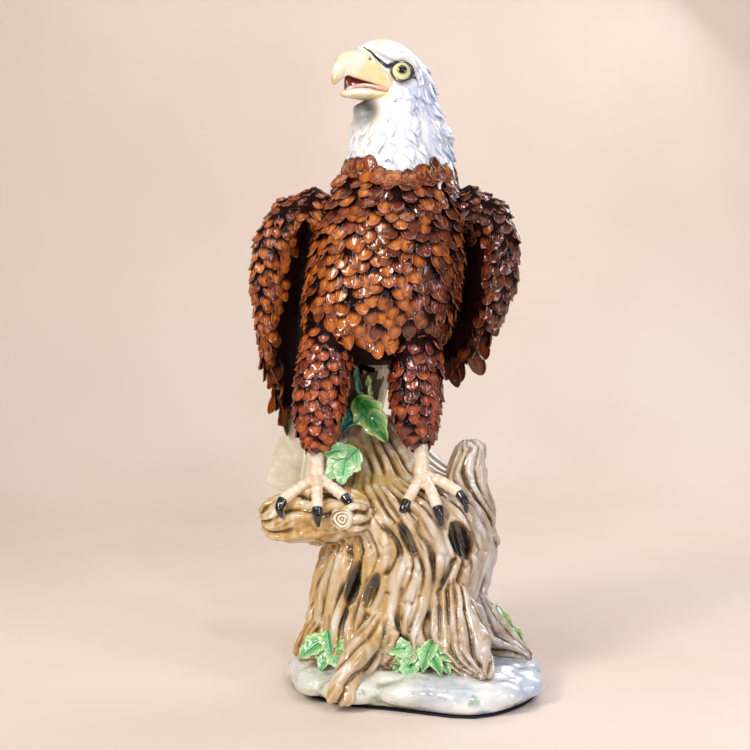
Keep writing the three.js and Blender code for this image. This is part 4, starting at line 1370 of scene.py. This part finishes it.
def make_mouth(head, paints):
    lining = head_piece(head, "mouth_lining", LINING, 0.6, 2)
    set_values(lining, back=smoothstep(20, 10, head.local(coordinates(lining.data))[:, 0]))
    finish_piece(lining, paints["mouth"], "mouth_pink")
    lips = []
    for side in (1, -1):
        path = catmull(np.array(LIP) * [1, side, 1], 6)
        lips.append(tube(head.world(path), np.full(len(path), 1.15) * MM, 10))
    tongue = head_piece(head, "tongue_casting", TONGUE, 0.45, 3, lips)
    local = head.local(coordinates(tongue.data))
    ahead, half, _ = np.array(LIP[::-1]).T
    inner = smoothstep(1.6, 3.0, np.interp(local[:, 0], ahead, half) - np.abs(local[:, 1]))
    set_values(tongue, back=inner)
    finish_piece(tongue, paints["tongue"], "mouth_pink", "tongue")


def eye_axis(side):
    return unit(np.array([0.34, side * 0.94, 0.06]))


def make_eyes(head, material):
    for side, name in ((1, "eye_left"), (-1, "eye_right")):
        verts, faces = ball_shell(5, 6.3)
        toward = unit(verts) @ eye_axis(side)
        verts = verts * (1 + 0.05 * smoothstep(0.8, 1.0, toward))[:, None]
        gaze = np.clip(np.arccos(np.clip(toward, -1, 1)) / math.radians(74), 0, 1)
        world = head.world(verts + EYE_SEAT * [1, side, 1])
        eye = build(name + "_casting", world, faces, None, {"gaze": gaze})
        finish_piece(eye, material, "eye_gloss", name)


def tapered(path, at, radii):
    """The radius at each point of a path, in metres, from millimetres at a few places along it."""
    return np.interp(np.linspace(0, 1, len(path)), at, radii) * MM


def on_head(head, tree, spots):
    """Points in the head's frame moved onto the head's surface."""
    return np.array([np.asarray(tree.find_nearest(spot)[0]) for spot in head.world(spots)])


def make_liner(head, tree, material):
    """Black paint: a thick upper lid, a thin lower one, and the lines before and behind each eye."""
    shells = []
    angle = np.linspace(0, 2 * np.pi, 61)
    opening, reach = math.radians(66), 6.8
    squash = np.where(np.sin(angle) > 0, 0.84, 0.98)
    corner = 1.04 + 0.20 * np.clip(np.cos(angle), 0, 1) ** 6
    thick = 0.55 + 1.0 * smoothstep(-0.1, 0.55, np.sin(angle))
    for side in (1, -1):
        axis = eye_axis(side)
        up = unit(np.array([0, 0, 1.0]) - axis * axis[2])
        along = np.cross(up, axis) * side
        oval = (np.cos(angle) * corner)[:, None] * along + (np.sin(angle) * squash)[:, None] * up
        ring = EYE_SEAT * [1, side, 1] + reach * (math.cos(opening) * axis + math.sin(opening) * oval)
        shells.append(tube(head.world(ring), thick * MM, 8))
        for points, at, radii in LID_LINES:
            path = catmull(np.array(points) * [1, side, 1], 5)
            shells.append(tube(on_head(head, tree, path), tapered(path, at, radii), 8))
    verts, faces = stack(shells)
    liner = build("eye_lines", verts, faces)
    finish_piece(liner, material, "eye_gloss")


def neck_shell():
    rows = catmull(NECK, 5)
    sides = 40
    angle = np.linspace(0, 2 * np.pi, sides, endpoint=False)
    verts = [(x + rx * math.cos(t), y + ry * math.sin(t), z) for z, x, y, rx, ry in rows for t in angle]
    faces = ring_faces(len(rows), sides)
    faces.append(list(range(sides))[::-1])
    faces.append([(len(rows) - 1) * sides + j for j in range(sides)])
    return np.array(verts) * MM, faces


def head_shells(head):
    """The skull, the neck, and on each side the brow, the cheek and the jaw."""
    verts, faces = paired_loft(SKULL, 5, 36)
    shells = [(head.world(verts), faces), neck_shell()]
    for side in (1, -1):
        for points, at, radii in HEAD_ROPES:
            path = catmull(np.array(points) * [1, side, 1], 6)
            shells.append(tube(head.world(path), tapered(path, at, radii), 12))
    return shells


def sink_sockets(head, points):
    """Points moved in round each eye, and where they are in the head's frame."""
    local = head.local(points)
    for side in (1, -1):
        axis = eye_axis(side)
        away = local - EYE_SEAT * [1, side, 1]
        along = away @ axis
        across = np.linalg.norm(away - along[:, None] * axis, axis=1)
        sink = smoothstep(7.2, 5.2, across) * np.clip(along - 1.5, 0, None)
        local = local - axis[None] * sink[:, None]
    return head.world(local), local


def make_head(head, paints):
    skin = fuse("head_casting", head_shells(head), (0.8) * MM, 4)
    points, normals = points_and_normals(skin)
    points, local = sink_sockets(head, points)
    throat = np.exp(-oval_distance(points, (-33.5, -16.0, 353.5), (8.0, 10.0, 8.5)) ** 1.5)
    points = points - normals * ((throat * 6.5) * MM)[:, None]
    folds = np.sin((points[:, 2] / MM * 0.55 + 5 * noise(points, 18, 45, 2)))
    folds = folds * smoothstep(20, -4, local[:, 2] + 18) * 0.25
    rough = 0.15 * noise(points * [1, 1, 0.3], 3.2, 41, 2)
    points = points + normals * ((rough + folds) * MM)[:, None]
    move(skin, points)
    set_values(skin, **white_values(head, points), groove=groove_values(skin.data, 7, 0.65 * MM))
    tree = BVHTree.FromObject(skin, bpy.context.evaluated_depsgraph_get())
    make_hackles(head, skin, tree, paints["hackle"])
    finish_piece(skin, paints["white"], "white_plumage", "head_and_neck")
    return tree


BRIM = [
    # x, and the height there of the line between brown and white feathers on the front
    (-46, 316), (-38, 322), (-32, 323), (-24, 318), (-14, 314), (-5, 313), (4, 317), (12, 322), (17, 316),
    (24, 309),
]
BRIM_BEHIND = 317.0


def brim(points):
    """The height where the brown feathers give way to the white ones, in metres."""
    front = np.interp(points[:, 0] / MM, *np.array(BRIM, float).T)
    return np.where(points[:, 1] < 0, front, BRIM_BEHIND) * MM


def oval_distance(points, centre, half):
    """How far points are from a centre, squared, where 1 is on an oval given in millimetres."""
    return (((points - np.array(centre) * MM) / (np.array(half) * MM)) ** 2).sum(1)


def white_values(head, points):
    """Where the white gets bluish painted shade on the nape, the bird's left side, under the brow and before
    the eye, dark painted shade in the throat's hollow, and yellow paint beside the beak.
    """
    ahead, _, up = head.local(points).T
    x = points[:, 0] / MM
    flow = noise(points * [1, 1, 0.4], 9.0, 43, 2)
    # Bluish painted shade: the nape, the bird's left side, the brow's shadow over the eye, and the lore.
    nape = smoothstep(2.0, -16.0, ahead + 6 * flow) * smoothstep(-75, 0, up) * 0.8
    shaded = smoothstep(10, 24, x + 6 * flow) * 0.75
    ridge = np.exp(-(((ahead - 8) / 8.0) ** 2 + ((up - 9.6) / 2.0) ** 2)) * 0.6
    lore = np.exp(-(((ahead - 16) / 3.5) ** 2 + ((up - 6.5) / 2.5) ** 2)) * 0.5
    blue_shade = np.max([nape, shaded, ridge, lore], 0)
    # Painted shade in the throat's hollow under the jaw: a dark yellow-green ring and a dark bluish core.
    spot = np.exp(-oval_distance(points, (-34.0, -17.0, 354.5), (10.5, 18.0, 10.5)) ** 1.5)
    core = np.exp(-oval_distance(points, (-34.0, -17.0, 352.0), (4.2, 16.0, 4.6)))
    cheek = smoothstep(2.0, 7.0, ahead) * smoothstep(-1.0, -4.0, up) * smoothstep(-21, -16, up) * 0.9
    stroke = 0.35 * smoothstep(0.15, 0.5, noise(points * [1, 1, 0.5], 12, 47, 2)) * smoothstep(10, -20, x)
    return {"blue_shade": np.clip(blue_shade, 0, 1), "olive_shade": np.clip(1.35 * spot - 1.1 * core, 0, 1), "hollow": core,
            "yellow": np.maximum(cheek, stroke)}


def make_hackles(head, skin, tree, material):
    """The white feathers of the nape and neck: small and flat on the head, long and pointed at the collar."""
    rng = np.random.default_rng(5)
    heights = [318, 345, 385]

    def spacing(point):
        return float(np.interp(point[2] / MM, heights, [8.2, 6.8, 4.8]))

    def keep(points):
        ahead, _, up = head.local(points).T
        face = ((ahead > -1.5) & (up > -19)) | ((ahead > -9.0) & (up > -4))
        crown = (ahead > -6) & (up > 2)
        chin = (ahead > 6) & (up > -27)
        return ~face & ~crown & ~chin & (points[:, 2] > brim(points) + 3.0 * MM)

    plumes = Plumage(tree, "lance", hang=(2.0, 6.0))
    for spot in scatter(*mesh_shell(skin.data), spacing, rng, keep):
        draws = rng.uniform(size=6)
        hit, normal, _, _ = tree.find_nearest(spot)
        hit, normal = np.asarray(hit), np.asarray(normal)
        behind = float(smoothstep(4.0, -16.0, head.local(hit[None])[0, 0]))
        big = float(np.interp(hit[2] / MM, heights, [1.0, 0.8, 0.55]))
        low = float(smoothstep(332, 318, hit[2] / MM))
        down = np.array([0.5 * math.sin(2.5 * draws[2] + hit[2] * 110), 0.1, -1.0])
        lift = (-1.2, 1.1 + (1.2 + 1.2 * draws[3]) * behind * big + 0.5 * draws[3] + 2.0 * low)
        plumes.lay(hit, down, normal, 19 * big * (0.85 + 0.4 * draws[0]),
                   (11.5 - 1.5 * behind) * big * (0.85 + 0.3 * draws[1]), lift, 0.8, draws[4],
                   (draws[5] - 0.5) * 0.6, (draws[2] - 0.5) * 2.6, thick=1.5, lip=0.15, cup=0.1)
    obj = plumes.make("neck_feathers", material)
    set_values(obj, **white_values(head, coordinates(obj.data)))


# ---------------------------------------------------------------- feet

FEET = {
    "foot_right": {
        "shank": [(-59.5, -15, 158), (-60, -15.5, 144), (-60, -16, 131)],
        "toes": [
            [(-60, -16, 130), (-71, -26, 125), (-80, -32, 119), (-82, -35, 114), (-80.5, -36, 109)],
            [(-60, -17, 130), (-59.5, -31, 125.5), (-59, -39, 115), (-59, -41, 109.5), (-58.5, -39.5, 104)],
            [(-60, -16, 130), (-51, -27, 126), (-43, -33, 121), (-40, -36, 117), (-38.5, -36.5, 112)],
            [(-60, -15, 129), (-61, -3, 125.5), (-61, 7, 119), (-61, 10.5, 115), (-61, 11, 110)],
        ],
    },
    "foot_left": {
        "shank": [(2.5, -15, 159), (3.5, -15.5, 145), (4, -16, 132)],
        "toes": [
            [(4, -16, 131), (-1, -29, 125.5), (-5.5, -37, 118.5), (-8, -40, 114), (-9, -40, 109)],
            [(4, -17, 131), (8.5, -31, 125), (12.5, -39, 115.5), (14, -41.5, 110), (15, -41, 104.5)],
            [(4, -16, 131), (15, -25, 129), (26, -32, 123), (29, -35.5, 118), (30, -36, 112)],
            [(4, -15, 131), (3, -4, 131), (2, 4, 134), (2, 7, 133), (2, 10, 130)],
        ],
    },
}


def shank_shells(points):
    """The bare shank, with a raised band every few millimetres."""
    shank = catmull(points, 8) * MM
    swell = tapered(shank, [0, 0.25, 0.7, 1], [5.2, 4.4, 4.5, 5.4])
    shells = [tube(shank, swell, 14, ref=(0, 1, 0))]
    for k in range(2, len(shank) - 1, 3):
        shells.append(tube(shank[k:k + 2], np.full(2, swell[k] + 0.35 * MM), 14, ref=(0, 1, 0)))
    return shells


def toe_shells(points):
    """A ringed toe and its knuckle, and apart from them its claw."""
    path = catmull(points[:3], 9) * MM
    size = tapered(path, [0, 0.4, 0.85, 1.0], [4.2, 3.5, 3.5, 3.1])
    size = size + 0.45 * MM * np.maximum(np.sin(2 * np.pi * 6.0 * np.linspace(0, 1, len(path))), 0)
    hook = catmull(points[2:], 7) * MM
    claw = tube(hook, (3.35 - 2.3 * np.linspace(0, 1, len(hook)) ** 1.5) * MM, 14)
    return [tube(path, size, 12), tube(path[[-2, -1]], np.array([3.7, 3.3]) * MM, 12)], claw


def make_feet(paints):
    for name, foot in FEET.items():
        shells, claws = shank_shells(foot["shank"]), []
        for points in foot["toes"]:
            toe, claw = toe_shells(points)
            shells += toe
            claws.append(claw)
        skin = fuse(name + "_casting", shells, (0.6) * MM, 2)
        points = coordinates(skin.data)
        stain = smoothstep(127, 121, points[:, 2] / MM) * smoothstep(-34, -22, points[:, 1] / MM) * 0.8
        stain = np.clip(stain + 0.25 * noise(points, 6, 51), 0, 1) * 0.8
        set_values(skin, groove=groove_values(skin.data, 5, 0.4 * MM), stain=stain)
        finish_piece(skin, paints["skin"], "foot_skin", name)
        claw = build(name + "_claws", *stack(claws))
        finish_piece(claw, paints["black"], "foot_skin")


# ---------------------------------------------------------------- leaves

LEAVES = {
    # paint, whether its tip points up, and the smaller leaflets round it as (along, across, turn, size)
    "leaf_crest_front": ("leaf_lime", False, []),
    "leaf_crest_low": ("leaf_pale", False, [(0.30, 0.35, 0.7, 0.6), (-0.10, -0.40, -0.6, 0.55)]),
    "leaf_crest_teal": ("leaf_teal", False, []),
    "leaf_crest_tall": ("leaf_teal", True, []),
    "leaf_crest_bud": ("leaf_lime", True, []),
    "leaf_ground_left": ("leaf_dark", False, [(0.3, 0.5, 0.7, 0.7), (-0.2, -0.5, -0.7, 0.75),
                                              (0.5, -0.1, 0.2, 0.6)]),
    "leaf_ground_middle": ("leaf_pale", False, [(0.25, 0.6, 0.8, 0.8), (-0.1, -0.6, -0.7, 0.8),
                                                (-0.35, 0.15, 0.3, 0.6)]),
    "leaf_ground_front": ("leaf_bright", False, [(0.3, 0.5, 0.8, 0.8), (-0.2, -0.5, -0.8, 0.8),
                                                 (0.45, -0.4, -0.2, 0.6)]),
    "leaf_ground_right": ("leaf_bright", False, [(0.2, 0.6, 0.8, 0.8), (0.1, -0.6, -0.7, 0.75),
                                                 (-0.3, 0.1, 0.4, 0.6)]),
}


def leaflet(middle, run, side, face, low, high, wide, bend, phase):
    """One ruffled leaf as a closed thin solid: its points and faces, and how far across and along each is."""
    rows, columns = 26, 15
    places = np.linspace(0, 1, rows), np.linspace(-1, 1, columns)
    v, u = (a.ravel() for a in np.meshgrid(*places, indexing="ij"))
    outline = np.sin(np.pi * np.clip(v, 0.0, 1.0) ** 0.8) ** 0.75 * (1 - 0.25 * v) + 0.05
    lobes = 1 + 0.10 * np.sin(v * 21 + phase) + 0.04 * np.sin(v * 60)
    along = low + (high - low) * v
    across = u * wide * outline * np.where(np.abs(u) > 0.6, lobes, 1) + 0.12 * wide * np.sin(3 * v + phase)
    ribs = 0.35 * np.sin(v * 44 - np.abs(u) * 16) * np.clip(np.abs(u) * 3, 0, 1) * (1 - np.abs(u))
    ruffle = 0.9 * np.abs(u) ** 2 * np.sin(v * 15 + 2.2 * np.sign(u) + phase)
    dished = 1.5 * np.abs(u) ** 1.5 - 0.6 * np.exp(-((u / 0.12) ** 2))
    height = np.polyval(bend, along) / MM + dished + ribs + ruffle
    edge = 0.75 - 0.3 * np.abs(u)
    top = middle + run * along[:, None] + side * across[:, None] + face * ((height + edge) * MM)[:, None]
    under = top - face * (2 * edge * MM)[:, None]
    return np.vstack([top, under]), sheet_faces(rows, columns), np.tile(u, 2), np.tile(v, 2)


def make_leaf(node, material, upward, extras):
    """A CAD leaf as a ruffled leaf that follows it, with smaller leaflets round it."""
    verts, middle, (run, side, face) = limb_axes(node)
    if (run[2] > 0) != upward:
        run = -run
    if face[1] > 0:
        face = -face
    side = np.cross(face, run)
    place = (verts - middle) @ np.stack([run, side, face], 1)
    bend = np.polyfit(place[:, 0], place[:, 2], 2)
    low, high = place[:, 0].min() * 1.12, place[:, 0].max() * 1.12
    wide = np.abs(place[:, 1]).max() * 1.2
    parts = [leaflet(middle, run, side, face, low, high, wide, bend, 0.0)]
    for k, (ahead, beside, turn, size) in enumerate(extras):
        way = run * math.cos(turn) + side * math.sin(turn)
        spot = middle + run * (ahead * high) + side * (beside * wide * 1.5) + face * ((0.9 + 0.5 * k) * MM)
        parts.append(leaflet(spot, way, np.cross(face, way), face, low * size, high * size, wide * size, bend,
                             1.7 * (k + 1)))
    points, faces, u, v = zip(*parts)
    quads = np.vstack([f + k * len(points[0]) for k, f in enumerate(faces)])
    values = {"leaf_u": np.concatenate(u), "leaf_v": np.concatenate(v)}
    obj = build(node + "_casting", np.vstack(points), quads, None, values)
    finish_piece(obj, material, "leaf_glaze", node)


# ---------------------------------------------------------------- brown plumage and tail


def paint_node(node, material):
    paint_over(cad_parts[node].data, material)


def tone(point, draw):
    """How bright a brown feather is: a random tone, with painted light brightest on the middle of the chest
    where the key light falls, and painted shade darker to the bird's left.
    """
    x, z = point[0] / MM, point[2] / MM
    lit = math.exp(-(((x + 30) / 32) ** 2 + ((z - 258) / 44) ** 2))
    # far: painted shade over the bird's left side, turned away from the key light.
    far = float(smoothstep(26, 40, x))
    return min(max(0.34 + 0.36 * lit - 0.0035 * x - 0.22 * far + 0.85 * (draw - 0.5), 0.0), 1.0)


def collar_rows(plumes, tree, rng):
    """Two rows of short feathers that hang from the brim and close the collar."""
    verts, faces = node_shell("torso")
    loop, _ = outline_at(verts, faces, verts[:, 2].max() - 4.0 * MM)
    for row in (1, 0):
        for spot in ring_spots(loop, (4.6 + 0.5 * row) * MM):
            draws = rng.uniform(size=6)
            height = float(brim(spot[None])[0]) + (3.0 * draws[5] - 0.8 - 3.4 * row) * MM
            spot = np.array([spot[0], spot[1], height])
            hit, normal, _, _ = tree.find_nearest(spot)
            plumes.lay(np.asarray(hit), DOWN, np.asarray(normal), 7.5 + 2.5 * draws[0], 7.6 + 1.6 * draws[1],
                       (0.5 + 0.5 * draws[2], 2.4 + 0.9 * draws[2]), 1.2, tone(spot, draws[3]),
                       (draws[4] - 0.5) * 1.1, (draws[5] - 0.5) * 2, thick=2.0, cup=0.4, show=0.5)


def make_torso_feathers(paints):
    def size(point):
        low = float(smoothstep(250, 205, point[2] / MM))
        return 8.8 + 1.0 * low, 5.3 + 0.6 * low, 12.6 + 3.5 * low

    def keep(points):
        return (points[:, 2] > 0.2000) & (points[:, 2] < brim(points) - 1.5 * MM)

    clothe(smooth_shell("torso", "head_and_neck"), "torso_feathers", paints["plume"], size, tone, 3,
           [surface("thigh_left"), surface("thigh_right")], rise=2.2, wild=1.0, keep=keep, extra=collar_rows)


def make_thigh_feathers(side, seed, paints):
    def size(point):
        low = float(smoothstep(168, 154, point[2] / MM))
        return 7.8, 4.9, 11.0 - 3.2 * low

    def keep(points):
        return points[:, 2] > 0.1525

    clothe(smooth_shell("thigh_" + side, relax=3), f"thigh_{side}_feathers", paints["plume_red"], size, tone,
           seed, [surface("torso")], rise=1.5, wild=0.9, hang=(2.5, 5.0), keep=keep)


def make_wing_feathers(side, seed, paints):
    low, high = (v.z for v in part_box("wing_" + side))

    def size(point):
        grow = float(smoothstep(0.45, 1.0, (high - point[2]) / (high - low)))
        return 7.6 + 2.8 * grow, 4.7 + 1.9 * grow, 10.8 + 10.0 * grow

    inner = unit(np.array([-1.0 if side == "left" else 1.0, 0.1, 0.0]))
    clothe(smooth_shell("wing_" + side, relax=4), f"wing_{side}_feathers", paints["plume"], size, tone, seed,
           [surface("torso")], crown=1.1, wild=0.8, hang=(3.0, 7.0), bare=inner)


def make_plumage(paints):
    # The body under the feathers is painted near black, as painted shade for the gaps between them.
    for node in ("torso", "wing_left", "wing_right", "thigh_left", "thigh_right"):
        paint_node(node, paints["under"])
    make_torso_feathers(paints)
    for k, side in enumerate(("left", "right")):
        make_thigh_feathers(side, 20 + k, paints)
        make_wing_feathers(side, 30 + k, paints)


def edge_spot(outline, share, sign):
    """A point on an outline's front or back, a share of the way across it."""
    loop, middle = outline
    left, right = loop[:, 0].min(), loop[:, 0].max()
    x = left + (right - left) * (0.08 + 0.84 * share)
    same = loop[(loop[:, 1] - middle[1]) * sign >= 0]
    return same[np.argmin(np.abs(same[:, 0] - x))]


def make_tail(paints):
    """Long vanes down the front and the back of the tail."""
    verts, faces = node_shell("tail")
    tree = BVHTree.FromPolygons(verts.tolist(), faces)
    low, high = verts[:, 2].min(), verts[:, 2].max()
    rows = np.concatenate([np.linspace(0, 0.85, 14), [0.9, 0.94, 0.97, 1.0]])
    plumes = Plumage(tree, "blade", rows=rows, hang=(4.0, 9.0))
    rng = np.random.default_rng(77)
    outlines = [outline_at(verts, faces, high - 12 * MM), outline_at(verts, faces, low + 8 * MM)]
    count = 7
    for sign in (-1, 1):
        for k in range(count):
            share = (k + 0.5) / count
            start, end = (edge_spot(outline, share, sign) for outline in outlines)
            hit, _, _, _ = tree.find_nearest(start)
            length = np.linalg.norm(end - start) / MM + 7 + 3 * math.sin(math.pi * share)
            outward = np.array([0, sign, -0.25 * sign]) / 1.03
            plumes.lay(np.asarray(hit), end - start, outward, length, 13.5, (-0.6, 1.2 + 0.5 * (k % 2)), 1.0,
                       rng.uniform(0.2, 0.8), 0.0, 0.5 * sign, 1.2)
    plumes.make("tail_feathers", paints["tail"])
    paint_node("tail", paints["tail_core"])


# ---------------------------------------------------------------- everything

HIDDEN_PAINTS = {"felt_sheet": "felt", "leg_rod_left": "steel", "leg_rod_right": "steel", "neck_peg": "wood",
                 "wing_peg_left": "wood", "wing_peg_right": "wood"}


add_camera()
add_world()
for light_values in LIGHTS:
    add_light(*light_values)
add_backdrop()
PAINTS = make_paints()
for hidden, paint_name in HIDDEN_PAINTS.items():
    paint_node(hidden, PAINTS[paint_name])
HEAD = HeadFrame()
make_stump(PAINTS["bark"])
make_knot_face(PAINTS["bark"])
make_ground(PAINTS["ground"])
make_plumage(PAINTS)
make_tail(PAINTS)
HEAD_TREE = make_head(HEAD, PAINTS)
make_upper_beak(HEAD, PAINTS["beak"])
make_lower_beak(HEAD, PAINTS["beak"])
make_mouth(HEAD, PAINTS)
make_eyes(HEAD, PAINTS["eye"])
make_liner(HEAD, HEAD_TREE, PAINTS["black"])
make_feet(PAINTS)
for leaf, (paint_name, points_up, leaflets) in LEAVES.items():
    make_leaf(leaf, PAINTS[paint_name], points_up, leaflets)
